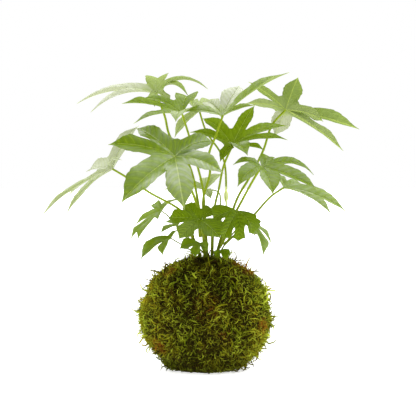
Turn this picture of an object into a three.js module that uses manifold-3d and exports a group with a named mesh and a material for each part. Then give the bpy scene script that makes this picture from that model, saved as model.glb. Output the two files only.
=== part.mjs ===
import * as THREE from "three";
import { mergeVertices } from "three/addons/utils/BufferGeometryUtils.js";
import Module from "manifold-3d";

// Kokedama: a moss-wrapped soil ball that carries a clump of palmate-leaved seedlings.
// Millimetres, +Z up. The origin is the centre of the flat spot that the ball rests on.
// The front of the plant looks along -Y.

const wasm = await Module();
wasm.setup();

// Moss ball: an upright ellipsoid, pressed flat below and open at the top.
const MOSS_RADIUS = 67.5;
const MOSS_HALF_HEIGHT = 63;
const MOSS_CENTRE_Z = 56.5;
const MOSS_AROUND = 56;
const MOSS_UP = 34;
const TUFT_HEIGHT = 1.5;
const TUFT_SEED = 2024;
const LUMP_HEIGHT = 0.8;

// Slow waves of the ball's surface: the way each runs, by its wave number, and its start angle.
const LUMP_WAVES = [
  { way: [5.1, 0, 2.3], start: 0 },
  { way: [0, 4.3, 0], start: 1.1 },
  { way: [-3.1, 0, 6.7], start: 0 },
];

// The opening: a flared bore over the soil ball's top, a little off centre, by its middle's rise.
const OPENING_RADIUS = 15;
const OPENING_FLARE = 21;
const OPENING_DEPTH = 30;
const OPENING_SHIFT = 4;
const OPENING_RISE = 10;

// Block below the ground that the moss ball is cut flat with.
const GROUND_SIDE = 200;
const GROUND_DEPTH = 60;

// Soil ball: what the moss is wrapped round.
const SOIL_RADIUS = 56;
const SOIL_HALF_HEIGHT = 51;
const SOIL_CENTRE_Z = 60;
const SOIL_AROUND = 24;
const SOIL_UP = 14;

// Clearance between pieces that touch, and round a stem in its hole.
const GAP = 0.3;
const HOLE_CLEARANCE = 0.4;

// Seedling stems: straight in the soil, then leaning out of the opening.
const STEM_RADIUS = 1.8;
const STEM_SIDES = 8;
const BUD_HEIGHT = 5;
const BUD_SUNK = 0.5;

// Leaf blades and petioles.
const BLADE_THICKNESS = 0.8;
const SINUS_SHARE = 0.37;
const RIB_START = 0.95;
const OUTER_HALF_ANGLE = THREE.MathUtils.degToRad(34);
const WIDEST_HALF_ANGLE = 1.2;
const FOLD = THREE.MathUtils.degToRad(14);
const NEIGHBOUR_SHARE = 0.9;
const PETIOLE_SIDES = 6;
const PETIOLE_STEPS = 7;
const STEM_STEPS = 6;
const SEAT_STEPS = 30;

// Half width of a lobe past its sinus, as a share of its widest half width.
const MARGIN = [
  { along: 0.2, wide: 0.93 },
  { along: 0.42, wide: 1 },
  { along: 0.64, wide: 0.73 },
  { along: 0.84, wide: 0.24 },
];

// Coarse teeth: every second margin point is drawn in to this share.
const TOOTH_NOTCH = 0.82;

// Stems by name: foot in the soil, collar at the soil's surface, top.
const STEMS = {
  left: [[-5, -4, 78], [-5, -4, 113], [-16, -4, 142]],
  front: [[-1, -10, 78], [-1, -10, 113], [-3, -13, 146]],
  back: [[1, 6, 78], [1, 6, 113], [-1, 8, 152]],
  middle: [[6, -9, 78], [6, -9, 113], [7, -10, 151]],
  right: [[10, 0, 78], [10, 0, 113], [20, -5, 150]],
  right_back: [[9, 9, 78], [9, 9, 113], [26, 9, 152]],
};

// Each leaf: the stem and height its petiole leaves from, the points the petiole passes,
// its radius, the hub where the lobes meet, the way the blade faces (lean is the compass
// direction, 0 along +X and 90 along +Y; tilt is from level), the half width of the lobes as a
// share of their length, and the lobes in order round the hub, anticlockwise seen from above.
// A lobe is its tip and the rise of its rib at mid length, as a share of its length. Some give
// a factor on the width too, and a roll in degrees that lifts the side towards the next lobe.
// Leaves with shallow notches between their lobes give the notch's own share of the length.
const LEAVES = [
  {
    name: "leaf_front_large",
    stem: "front", height: 138, petiole: 1.5,
    via: [[-10, -18, 172], [-20, -36, 197]],
    hub: [-31, -55, 219], lean: -95, tilt: 46, width: 0.2,
    lobes: [
      [8, -36, 233, 0.2, 1.05, 20],
      [-71, -30, 248, 0.12],
      [-98, -48, 231, 0.1],
      [-83, -92, 173, 0.08],
      [-21, -98, 167, 0.1],
      [18, -68, 202, 0.14],
    ],
  },
  {
    name: "leaf_left_drooping",
    stem: "left", height: 137, petiole: 1.3,
    via: [[-22, -14, 161], [-59, -19, 184], [-80, -18, 198]],
    hub: [-95, -18, 207], lean: -130, tilt: 42, width: 0.14,
    lobes: [
      [-70, 18, 252, 0.08, 1.2],
      [-122, 20, 205, 0.09, 1.8],
      [-144, 6, 177, 0.08, 0.5],
      [-170, -14, 156, 0.08, 0.45],
      [-141, -40, 160, 0.09, 0.55],
      [-85, -36, 216, 0.3],
    ],
  },
  {
    name: "leaf_top_left",
    stem: "back", height: 149, petiole: 1.4,
    via: [[-17, 12, 210], [-38, 22, 242], [-43, 23, 262]],
    hub: [-52, 20, 286], lean: -100, tilt: 12, width: 0.16,
    lobes: [
      [2, 36, 291, 0.22],
      [-50, 58, 301, 0.2, 2, -4],
      [-136, 40, 276, 0.1],
      [-118, -8, 265, 0.13, 0.65],
      [-53, 0, 271, 0.16, 1.9],
      [-38, 0, 273, 0.16, 1.4],
      [-18, 6, 282, 0.3, 1.2],
    ],
  },
  {
    name: "leaf_upper_left",
    stem: "back", height: 143, petiole: 1.3,
    via: [[-3, -4, 185], [-9, -8, 211], [-17, -16, 240]],
    hub: [-24, -26, 262], lean: -110, tilt: 22, width: 0.2,
    lobes: [
      [-14, 18, 274, 0.28, 1.3],
      [-66, -8, 279, 0.13, 0.75],
      [-85, -30, 273, 0.08],
      [-72, -54, 252, 0.1, 0.5],
      [-30, -62, 253, 0.16],
    ],
  },
  {
    name: "leaf_back_pale",
    stem: "right_back", height: 146, petiole: 1.2,
    via: [[21, 19, 182], [18, 24, 218], [0, 35, 247]],
    hub: [-7, 34, 268], lean: -100, tilt: 25, width: 0.2,
    lobes: [
      [17, 50, 261, 0.15],
      [8, 72, 278, 0.15],
      [-19, 66, 277, 0.15],
      [-28, 44, 263, 0.15],
      [-33, 30, 240, 0.1],
    ],
  },
  {
    name: "leaf_top_middle",
    stem: "front", height: 144, petiole: 1.4,
    via: [[-3, -14, 175], [4, -18, 203], [3, -24, 222], [10, -27, 241]],
    hub: [17, -20, 261], lean: -100, tilt: 32, width: 0.19,
    lobes: [
      [49, -34, 271, 0.06, 0.8],
      [86, 10, 307, 0.06, 0.75, -25],
      [35, 22, 294, 0.05, 1.1],
      [0, 14, 276, 0.1, 1.3],
      [-22, -12, 265, 0.1],
    ],
  },
  {
    name: "leaf_top_right",
    stem: "right_back", height: 151, petiole: 1.4,
    via: [[33, 14, 178], [45, 22, 198], [60, 34, 227], [69, 36, 253]],
    hub: [83, 24, 269], lean: 70, tilt: 58, width: 0.15,
    lobes: [
      [41, 34, 276, 0.12, 0.85],
      [44, 24, 298, 0.08, 0.75],
      [97, 44, 304, -0.12, 1.7],
      [121, 8, 256, 0.15, 1.2],
      [161, 36, 249, 0.06, 0.95, 20],
      [143, 22, 226, 0.07, 0.75, 25],
      [72, 50, 242, 0.1, 1.9],
    ],
  },
  {
    name: "leaf_middle_dark",
    stem: "middle", height: 149, petiole: 1.3,
    via: [[9, -9, 168], [13, -6, 186], [18, -3, 210]],
    hub: [27, 0, 231], lean: -90, tilt: 32, width: 0.17,
    lobes: [
      [42, -42, 220, 0.14, 1.2],
      [60, -8, 226, 0.12],
      [84, 4, 237, 0.12, 0.8],
      [85, 22, 252, 0.1, 0.75],
      [51, 34, 274, 0.05, 0.75],
      [-4, 30, 260, 0.12, 1.1],
      [-17, 8, 245, 0.1],
      [14, -24, 214, 0.1],
    ],
  },
  {
    name: "leaf_right_middle",
    stem: "right", height: 147, petiole: 1.4,
    via: [[34, -16, 170], [49, -28, 198]],
    hub: [56, -32, 209], lean: -72, tilt: 32, width: 0.2,
    lobes: [
      [27, -34, 211, 0.2],
      [31, -62, 189, 0.18, 1.1],
      [66, -72, 181, 0.12, 1.15],
      [111, -54, 186, 0.06, 0.85],
      [110, -10, 201, 0.18, 0.6],
      [66, 2, 219, 0.1],
    ],
  },
  {
    name: "leaf_right_low",
    stem: "right_back", height: 130, petiole: 1.3,
    via: [[34, 10, 143], [50, 10, 160], [67, 3, 179]],
    hub: [80, -2, 188], lean: -50, tilt: 34, width: 0.14,
    lobes: [
      [127, -34, 161, 0.08],
      [144, -6, 163, 0.08, 1.2],
      [101, 34, 187, 0.15],
      [74, 26, 201, 0.1],
    ],
  },
  {
    name: "leaf_front_low_left",
    stem: "front", height: 123, petiole: 1.1,
    via: [[-3, -27, 139]],
    hub: [-7, -38, 156], lean: -90, tilt: 54, width: 0.34, sinus: 0.55, teeth: true,
    lobes: [
      [8, -30, 166, 0.08, 1.3],
      [-22, -28, 171, 0.08],
      [-38, -40, 157, 0.08],
      [-27, -54, 137, 0.08],
      [14, -58, 138, 0.1, 1.1],
    ],
  },
  {
    name: "leaf_front_low_right",
    stem: "middle", height: 120, petiole: 1.1,
    via: [[15, -15, 128], [24, -24, 147]],
    hub: [31, -34, 165], lean: -74, tilt: 52, width: 0.34, sinus: 0.62, teeth: true,
    lobes: [
      [7, -40, 156, 0.16, 1.5],
      [17, -46, 137, 0.12, 1.45],
      [32, -38, 134, 0.2],
      [47, -38, 141, 0.24, 1.15],
    ],
  },
  {
    name: "leaf_low_right_pale",
    stem: "right", height: 121, petiole: 0.9,
    via: [[22, -8, 134]],
    hub: [38, -14, 154], lean: -25, tilt: 39, width: 0.25,
    lobes: [
      [58, -26, 119, 0.15, 1.3],
      [67, 2, 130, 0.12],
      [50, 14, 138, 0.05],
    ],
  },
  {
    name: "leaf_low_left_pale",
    stem: "back", height: 120, petiole: 0.8,
    via: [[-22, 12, 138], [-39, 12, 158]],
    hub: [-46, 8, 164], lean: -150, tilt: 36, width: 0.25,
    lobes: [
      [-29, 22, 175, 0.12],
      [-54, 28, 171, 0.12],
      [-74, 22, 149, 0.04],
      [-78, 4, 135, 0.05],
      [-70, -14, 135, 0.05],
      [-49, -12, 155, 0.12],
    ],
  },
  {
    name: "leaf_low_left_dark",
    stem: "left", height: 120, petiole: 0.8,
    via: [[-24, -8, 129]],
    hub: [-36, -8, 136], lean: -140, tilt: 48, width: 0.27,
    lobes: [
      [-29, 4, 144, 0.1],
      [-67, -12, 114, 0.12],
      [-44, -26, 119, 0.15],
    ],
  },
  {
    name: "leaf_left_inner",
    stem: "left", height: 130, petiole: 0.7,
    via: [[-20, 0, 139]],
    hub: [-29, 1, 149], lean: -120, tilt: 32, width: 0.24,
    lobes: [
      [-23, 16, 159, 0.1],
      [-42, 3, 153, 0.1],
      [-47, -4, 141, 0.12],
    ],
  },
  {
    name: "leaf_base_left",
    stem: "front", height: 117, petiole: 0.8,
    via: [[-3, -18, 125]],
    hub: [-6, -24, 132], lean: -108, tilt: 52, width: 0.36,
    lobes: [
      [-27, -28, 126, 0.12],
      [-11, -38, 118, 0.12],
      [2, -36, 124, 0.12],
    ],
  },
  {
    name: "leaf_base_right",
    stem: "middle", height: 117, petiole: 0.7,
    via: [[10, -14, 121]],
    hub: [13, -18, 124], lean: -60, tilt: 45, width: 0.4,
    lobes: [
      [10, -29, 117, 0.12],
      [20, -30, 115, 0.12],
      [25, -20, 119, 0.12],
    ],
  },
  {
    name: "leaf_back_middle",
    stem: "right_back", height: 136, petiole: 0.9,
    via: [[15, 16, 166], [13, 21, 183]],
    hub: [0, 24, 186], lean: -110, tilt: 24, width: 0.22,
    lobes: [
      [16, 46, 202, 0.1],
      [-1, 50, 198, 0.1],
      [-44, 34, 185, 0.1],
      [5, 6, 176, 0.1],
    ],
  },
];

// Young shoot: a folded leaf that stands on the right stem's top.
const SHOOT_RADIUS = 0.9;
const SHOOT_PATH = [[21.3, -5.6, 154.8], [21.5, -3, 164], [20.5, 0, 174]];
const SHOOT_BUD = [[0, 0], [1.5, 2], [2, 6], [1.2, 12], [0, 17]];
const SHOOT_STEPS = 4;
const SHOOT_SUNK = 1;

// Seeded number source for the tufts.
function seededNumbers(seed) {
  let state = seed;
  return () => {
    state = (Math.imul(state, 1664525) + 1013904223) >>> 0;
    return state / 4294967296;
  };
}

function vector(point) {
  return new THREE.Vector3(point[0], point[1], point[2]);
}

// Closed geometry to solid and back.
function solidOf(geometry) {
  const bare = new THREE.BufferGeometry();
  bare.setAttribute("position", geometry.getAttribute("position").clone());
  if (geometry.index) bare.setIndex(geometry.index.clone());
  const merged = mergeVertices(bare, 1e-4);
  const vertProperties = new Float32Array(merged.getAttribute("position").array);
  const triVerts = new Uint32Array(merged.index.array);
  return new wasm.Manifold(new wasm.Mesh({ numProp: 3, vertProperties, triVerts }));
}

function geometryOf(solid) {
  const mesh = solid.getMesh();
  const geometry = new THREE.BufferGeometry();
  geometry.setAttribute("position", new THREE.BufferAttribute(mesh.vertProperties, 3));
  geometry.setIndex(new THREE.BufferAttribute(mesh.triVerts, 1));
  geometry.computeVertexNormals();
  return geometry;
}

function meshOf(name, geometry, finish) {
  const mesh = new THREE.Mesh(geometry, new THREE.MeshStandardMaterial(finish));
  mesh.name = name;
  return mesh;
}

// A round-section tube through points.
function tubeThrough(points, radius, sides, steps) {
  const ring = [];
  for (let side = 0; side < sides; side++) {
    const angle = (side / sides) * Math.PI * 2;
    ring.push(new THREE.Vector2(radius * Math.cos(angle), radius * Math.sin(angle)));
  }
  const extrudePath = new THREE.CatmullRomCurve3(points, false, "centripetal");
  return new THREE.ExtrudeGeometry(new THREE.Shape(ring), { steps, bevelEnabled: false, extrudePath });
}

// An upright ellipsoid; relief gives the height above it for a point of the unit sphere.
function ellipsoid(radius, halfHeight, centreZ, around, up, relief) {
  const geometry = new THREE.SphereGeometry(1, around, up).rotateX(Math.PI / 2);
  const merged = mergeVertices(deleteExtras(geometry), 1e-5);
  const position = merged.getAttribute("position");
  const point = new THREE.Vector3();
  for (let i = 0; i < position.count; i++) {
    point.fromBufferAttribute(position, i);
    const raised = relief(point);
    position.setXYZ(
      i,
      point.x * (radius + raised),
      point.y * (radius + raised),
      centreZ + point.z * (halfHeight + raised),
    );
  }
  return merged;
}

function deleteExtras(geometry) {
  geometry.deleteAttribute("normal");
  geometry.deleteAttribute("uv");
  return geometry;
}

// Moss wrap: lumps are slow waves over the ball, tufts are a seeded step at each point.
function mossWrap() {
  const draw = seededNumbers(TUFT_SEED);
  const relief = (point) => {
    const [first, second, third] = LUMP_WAVES.map(({ way, start }) => Math.sin(point.dot(vector(way)) + start));
    return LUMP_HEIGHT * (first * second + third) + TUFT_HEIGHT * (2 * draw() - 1);
  };
  const outside = solidOf(
    ellipsoid(MOSS_RADIUS, MOSS_HALF_HEIGHT, MOSS_CENTRE_Z, MOSS_AROUND, MOSS_UP, relief),
  );
  const ground = new THREE.BoxGeometry(GROUND_SIDE, GROUND_SIDE, GROUND_DEPTH);
  ground.translate(0, 0, -GROUND_DEPTH / 2);
  const cavity = solidOf(
    ellipsoid(SOIL_RADIUS + GAP, SOIL_HALF_HEIGHT + GAP, SOIL_CENTRE_Z, SOIL_AROUND, SOIL_UP, () => 0),
  );
  const mouth = new THREE.CylinderGeometry(OPENING_FLARE, OPENING_RADIUS, OPENING_DEPTH, SOIL_AROUND);
  mouth.rotateX(Math.PI / 2);
  mouth.translate(OPENING_SHIFT, 0, SOIL_CENTRE_Z + SOIL_HALF_HEIGHT + OPENING_RISE);
  return geometryOf(outside.subtract(solidOf(ground)).subtract(cavity).subtract(solidOf(mouth)));
}

// Soil ball with one plain hole for each stem.
function soilBall() {
  let soil = solidOf(
    ellipsoid(SOIL_RADIUS, SOIL_HALF_HEIGHT, SOIL_CENTRE_Z, SOIL_AROUND, SOIL_UP, () => 0),
  );
  for (const points of Object.values(STEMS)) {
    const axis = points.map(vector);
    axis[0].z -= GAP;
    const hole = tubeThrough(axis, STEM_RADIUS + HOLE_CLEARANCE, STEM_SIDES, STEM_STEPS);
    soil = soil.subtract(solidOf(hole));
  }
  return geometryOf(soil);
}

function stemCurve(stem) {
  return new THREE.CatmullRomCurve3(STEMS[stem].map(vector), false, "centripetal");
}

// A stem with its pointed bud.
function stemWithBud(stem) {
  const axis = STEMS[stem].map(vector);
  const shaft = solidOf(tubeThrough(axis, STEM_RADIUS, STEM_SIDES, STEM_STEPS));
  const bud = new THREE.ConeGeometry(STEM_RADIUS, BUD_HEIGHT, STEM_SIDES);
  const tip = axis[2].clone();
  const heading = stemCurve(stem).getTangent(1);
  bud.translate(0, BUD_HEIGHT / 2 - BUD_SUNK, 0);
  bud.applyQuaternion(new THREE.Quaternion().setFromUnitVectors(new THREE.Vector3(0, 1, 0), heading));
  bud.translate(tip.x, tip.y, tip.z);
  return geometryOf(shaft.add(solidOf(bud)));
}

// Where a petiole of a given radius leaves a stem, just clear of its side, towards a point.
function seatOnStem(stem, height, radius, towards) {
  const curve = stemCurve(stem);
  let low = 0;
  let high = 1;
  for (let step = 0; step < SEAT_STEPS; step++) {
    const middle = (low + high) / 2;
    if (curve.getPoint(middle).z < height) low = middle;
    else high = middle;
  }
  const centre = curve.getPoint(low);
  const heading = curve.getTangent(low);
  const way = towards.clone().sub(centre).normalize();
  const outward = way.clone().addScaledVector(heading, -way.dot(heading)).normalize();
  const capReach = radius * Math.sqrt(1 - way.dot(outward) ** 2);
  return centre.addScaledVector(outward, STEM_RADIUS + GAP + capReach);
}

// The unit vector that a blade faces, from its lean and tilt.
function facingOf(leaf) {
  const lean = THREE.MathUtils.degToRad(leaf.lean);
  const tilt = THREE.MathUtils.degToRad(leaf.tilt);
  return new THREE.Vector3(Math.sin(tilt) * Math.cos(lean), Math.sin(tilt) * Math.sin(lean), Math.cos(tilt));
}

// A lobe: its rib as an arched curve, and the sideways unit vector of its blade.
function lobeOf(hub, entry, facing) {
  const [x, y, z, rise, wide = 1, roll = 0] = entry;
  const tip = new THREE.Vector3(x, y, z);
  const chord = tip.clone().sub(hub);
  const length = chord.length();
  const heading = chord.clone().normalize();
  const lift = facing.clone().addScaledVector(heading, -facing.dot(heading)).normalize();
  const bend = hub.clone().addScaledVector(chord, 0.5).addScaledVector(lift, 2 * rise * length);
  const rib = new THREE.QuadraticBezierCurve3(hub, bend, tip);
  const side = lift.cross(heading).applyAxisAngle(heading, THREE.MathUtils.degToRad(roll));
  return { rib, length, heading, side, wide };
}

// A point of a lobe, "along" its rib and "across" it in millimetres; the halves fold up.
function onLobe(lobe, along, across) {
  const tangent = lobe.rib.getTangent(along);
  const normal = tangent.cross(lobe.side);
  return lobe.rib
    .getPoint(along)
    .addScaledVector(lobe.side, across * Math.cos(FOLD))
    .addScaledVector(normal, Math.abs(across) * Math.sin(FOLD));
}

// The angle between a lobe and its neighbour on one side, or none across the petiole's notch.
function angleTo(lobe, neighbour) {
  return neighbour ? lobe.heading.angleTo(neighbour.heading) : 2 * OUTER_HALF_ANGLE;
}

// Middle surface of a blade: shared sinus points between lobes, then each lobe's free part.
function bladeSurface(leaf, hub) {
  const facing = facingOf(leaf);
  const lobes = leaf.lobes.map((entry) => lobeOf(hub, entry, facing));
  const points = [hub];
  const faces = [];
  const add = (point) => points.push(point) - 1;

  const sinusShare = leaf.sinus ?? SINUS_SHARE;
  const sinusOn = (lobe, neighbour, sideSign) => {
    const half = angleTo(lobe, neighbour) / 2;
    const reach = sinusShare * Math.min(lobe.length, neighbour ? neighbour.length : lobe.length);
    return onLobe(lobe, (reach * Math.cos(half)) / lobe.length, sideSign * reach * Math.sin(half));
  };
  const sinuses = [];
  for (let i = 0; i <= lobes.length; i++) {
    const before = lobes[i - 1];
    const after = lobes[i];
    if (before && after) {
      sinuses.push(add(sinusOn(before, after, 1).lerp(sinusOn(after, before, -1), 0.5)));
    } else {
      sinuses.push(add(after ? sinusOn(after, null, -1) : sinusOn(before, null, 1)));
    }
  }

  lobes.forEach((lobe, i) => {
    const ribStart = sinusShare * RIB_START;
    let rib = add(onLobe(lobe, ribStart, 0));
    let right = sinuses[i];
    let left = sinuses[i + 1];
    faces.push([0, right, rib], [0, rib, left]);
    MARGIN.forEach((row, k) => {
      const along = ribStart + (1 - ribStart) * row.along;
      const notch = leaf.teeth && k % 2 === 1 ? TOOTH_NOTCH : 1;
      const widest = lobe.length * leaf.width * lobe.wide * row.wide * notch;
      const room = (neighbour) => {
        const half = Math.min(angleTo(lobe, neighbour) / 2, WIDEST_HALF_ANGLE);
        return Math.min(widest, NEIGHBOUR_SHARE * along * lobe.length * Math.tan(half));
      };
      const nextRib = add(onLobe(lobe, along, 0));
      const nextRight = add(onLobe(lobe, along, -room(lobes[i - 1])));
      const nextLeft = add(onLobe(lobe, along, room(lobes[i + 1])));
      faces.push([right, nextRight, nextRib], [right, nextRib, rib]);
      faces.push([rib, nextRib, nextLeft], [rib, nextLeft, left]);
      rib = nextRib;
      right = nextRight;
      left = nextLeft;
    });
    const tip = add(onLobe(lobe, 1, 0));
    faces.push([right, tip, rib], [rib, tip, left]);
  });
  return { points, faces };
}

// A blade of even thickness about a surface, closed by a wall along its open edges.
function thicken({ points, faces }, thickness) {
  const surface = new THREE.BufferGeometry().setFromPoints(points);
  surface.setIndex(faces.flat());
  surface.computeVertexNormals();
  const normals = surface.getAttribute("normal");
  const normal = new THREE.Vector3();
  const shifted = (point, i, amount) => {
    normal.fromBufferAttribute(normals, i);
    return point.clone().addScaledVector(normal, amount);
  };
  const top = points.map((point, i) => shifted(point, i, thickness / 2));
  const under = points.map((point, i) => shifted(point, i, -thickness / 2));
  const count = points.length;
  const index = [];
  const edges = new Map();
  for (const [a, b, c] of faces) {
    index.push(a, b, c, count + a, count + c, count + b);
    for (const [from, to] of [[a, b], [b, c], [c, a]]) edges.set(`${from} ${to}`, [from, to]);
  }
  for (const [from, to] of edges.values()) {
    if (edges.has(`${to} ${from}`)) continue;
    index.push(to, from, count + from, to, count + from, count + to);
  }
  const blade = new THREE.BufferGeometry().setFromPoints([...top, ...under]);
  blade.setIndex(index);
  return blade;
}

// A leaf: its lobed blade joined to its petiole.
function leafGeometry(leaf) {
  const hub = vector(leaf.hub);
  const via = leaf.via.map(vector);
  const start = seatOnStem(leaf.stem, leaf.height, leaf.petiole, via[0]);
  const petiole = tubeThrough([start, ...via, hub], leaf.petiole, PETIOLE_SIDES, PETIOLE_STEPS);
  const blade = thicken(bladeSurface(leaf, hub), BLADE_THICKNESS);
  return geometryOf(solidOf(blade).add(solidOf(petiole)));
}

// The folded young leaf on its short petiole.
function shootGeometry() {
  const path = SHOOT_PATH.map(vector);
  const petiole = solidOf(tubeThrough(path, SHOOT_RADIUS, PETIOLE_SIDES, SHOOT_STEPS));
  const profile = SHOOT_BUD.map(([radius, height]) => new THREE.Vector2(radius, height));
  const bud = new THREE.LatheGeometry(profile, STEM_SIDES).rotateX(Math.PI / 2);
  const end = path[path.length - 1];
  bud.translate(end.x, end.y, end.z - SHOOT_SUNK);
  return geometryOf(petiole.add(solidOf(bud)));
}

const MOSS_FINISH = { color: 0x6a7420, roughness: 1, metalness: 0 };
const SOIL_FINISH = { color: 0x2c2210, roughness: 1, metalness: 0 };
const STEM_FINISH = { color: 0x5d6b26, roughness: 0.6, metalness: 0 };
const LEAF_FINISH = { color: 0x6f9640, roughness: 0.45, metalness: 0, side: THREE.DoubleSide };
const SHOOT_FINISH = { color: 0xc3cf7a, roughness: 0.5, metalness: 0 };

const kokedama = new THREE.Group();
kokedama.name = "kokedama";
kokedama.add(meshOf("moss_wrap", mossWrap(), MOSS_FINISH));
kokedama.add(meshOf("soil_ball", soilBall(), SOIL_FINISH));
for (const stem of Object.keys(STEMS)) {
  kokedama.add(meshOf(`stem_${stem}`, stemWithBud(stem), STEM_FINISH));
}
for (const leaf of LEAVES) {
  kokedama.add(meshOf(leaf.name, leafGeometry(leaf), LEAF_FINISH));
}
kokedama.add(meshOf("young_shoot", shootGeometry(), SHOOT_FINISH));

export default kokedama;
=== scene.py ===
import math
import random

import bpy
from mathutils import Euler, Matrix, Quaternion, Vector, noise


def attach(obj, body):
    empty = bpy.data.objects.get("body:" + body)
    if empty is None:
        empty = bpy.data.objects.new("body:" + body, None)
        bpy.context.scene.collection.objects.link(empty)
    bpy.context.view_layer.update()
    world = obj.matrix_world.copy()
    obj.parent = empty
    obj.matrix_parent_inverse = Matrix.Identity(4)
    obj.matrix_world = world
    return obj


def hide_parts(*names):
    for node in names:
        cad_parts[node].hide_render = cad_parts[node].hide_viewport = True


bl_info = {
    "name": "Kokedama moss ball plant",
    "version": (1, 0, 0),
    "blender": (4, 5, 0),
    "location": "View3D > Sidebar > Kokedama",
    "description": "Moss, soil, stems and palmate leaves of a moss ball plant, built on the frame's pieces",
    "category": "Object",
}

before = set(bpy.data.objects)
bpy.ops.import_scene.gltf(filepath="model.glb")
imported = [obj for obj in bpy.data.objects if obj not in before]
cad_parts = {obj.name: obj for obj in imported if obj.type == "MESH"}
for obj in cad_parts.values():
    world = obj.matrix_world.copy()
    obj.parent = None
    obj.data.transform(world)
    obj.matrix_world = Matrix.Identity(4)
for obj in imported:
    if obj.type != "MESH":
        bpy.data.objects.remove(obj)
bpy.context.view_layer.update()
BODY = "root"
MM = 0.001

# Moss ball in millimetres: a slightly squat ellipsoid on a flat spot, open at the top.
BALL_RADIUS = 67.5
BALL_HALF_HEIGHT = 63
BALL_CENTRE_Z = 56.5
MOUTH_RADIUS = 17
MOUTH_SHIFT = 4
CAVITY_RADIUS = 56.3
CAVITY_HALF_HEIGHT = 51.3
CAVITY_CENTRE_Z = 60
SOIL_RADIUS = 55.8
SOIL_HALF_HEIGHT = 50.8

# How far the bare skin lies under the strands' outline, and how high its lumps and crumbs stand.
SKIN_DEPTH = 2.2
LUMP_HEIGHT = 0.8
CRUMB_HEIGHT = 1.1
SOIL_CRUMB_HEIGHT = 0.9

# Crumbs along a radius of the ball: coarse ones, fine ones with their share, and those of the soil.
COARSE_CRUMBS = 22
FINE_CRUMBS = 55
FINE_SHARE = 0.6
SOIL_CRUMBS = 30

# Rings of points up the moss, its inside and the soil, and the points of each.
SKIN_RINGS = 72
CAVITY_RINGS = 20
SOIL_RINGS = 36
AROUND = 144

# Stems and petioles in millimetres: radius of a stem, gap between it and a petiole's foot.
STEM_RADIUS = 1.8
GAP = 0.3

# Sides of stems and petioles, and points for each stretch of their ways.
STEM_SIDES = 16
PETIOLE_SIDES = 8
STEM_STEPS = 24
PETIOLE_STEPS = 10

# Rings of leaf scar on a stem: spacing and width in millimetres. Their height and the stem's radius
# between them are shares of the stem's radius.
SCAR_SPACING = 7
SCAR_WIDTH = 0.6
SCAR_HEIGHT = 0.09
STEM_WAIST = 0.93

# Blunt end of a stem: distance past the end of its way and radius.
STEM_TIP = ((1, 1.45), (2, 1.05), (3, 0.65), (4.2, 0.2))

# A petiole's radius, the swelling of its foot and what it loses towards the blade, as shares of the
# leaf's own value, and the share of its way that the swelling takes.
PETIOLE_WAIST = 0.92
FOOT_SWELLING = 0.35
PETIOLE_TAPER = 0.12
FOOT_LENGTH = 0.15

# Leaf blades, as the frame has them: how far out a notch ends as a share of the shorter lobe, half
# the angle beside an outer lobe, the share of the room beside it that a lobe fills, and the most
# that half an angle counts for, in radians.
SINUS_SHARE = 0.37
OUTER_HALF_ANGLE = math.radians(34)
NEIGHBOUR_SHARE = 0.9
WIDEST_HALF_ANGLE = 1.2

# Rows of a lobe inside and past its sinus, and columns from rib to margin. The rows inside end on
# the rib a little nearer the hub than the sinus does.
ROWS_IN = 5
ROWS_OUT = 24
RIB_LAG = 0.95
COLUMNS = (0, 0.07, 0.2, 0.42, 0.64, 0.84, 1)

# Thickness of a blade at its seams, ribs and tips as shares of that at the hub, and how much of it
# is gone at the margin.
SEAM_THICKNESS = 0.8
RIB_THICKNESS = 0.75
TIP_THICKNESS = 0.4
MARGIN_THINNING = 0.6

# How far the ribs stand out below, in millimetres: at the hub, and just past it, from where they
# fade out to the tips.
HUB_RIDGE = 0.3
RIB_RIDGE = 0.45

# Bow of each half of a lobe as a share of its width, height of its waves as a share of its length, and
# the least and most half waves along it.
CROWN = 0.05
WAVE_HEIGHT = 0.035
WAVES = (2.2, 3.4)

# Teeth on each side of a lobe and their depth as a share of its width, coarse and faint.
COARSE_TEETH = (3.4, 0.2)
FAINT_TEETH = (6, 0.07)

# Bulge of a blade between its side veins, and the strength of the shade painted there, unless the leaf says
# another.
QUILT = 0.3

# Half width of a lobe past its sinus, as a share of its widest half width.
MARGIN = ((0, 0.84), (0.2, 0.95), (0.4, 1), (0.62, 0.75), (0.8, 0.33), (0.9, 0.12), (1, 0))

# Way of each stem from its hole in the soil up, in millimetres.
STEMS = {
    "left": [(-5, -4, 78), (-5, -4, 113), (-16, -4, 142)],
    "front": [(-1, -10, 78), (-1, -10, 113), (-3, -13, 146)],
    "back": [(1, 6, 78), (1, 6, 113), (-1, 8, 152)],
    "middle": [(6, -9, 78), (6, -9, 113), (7, -10, 151)],
    "right": [(10, 0, 78), (10, 0, 113), (20, -5, 150)],
    "right_back": [(9, 9, 78), (9, 9, 113), (26, 9, 152)],
}
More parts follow.
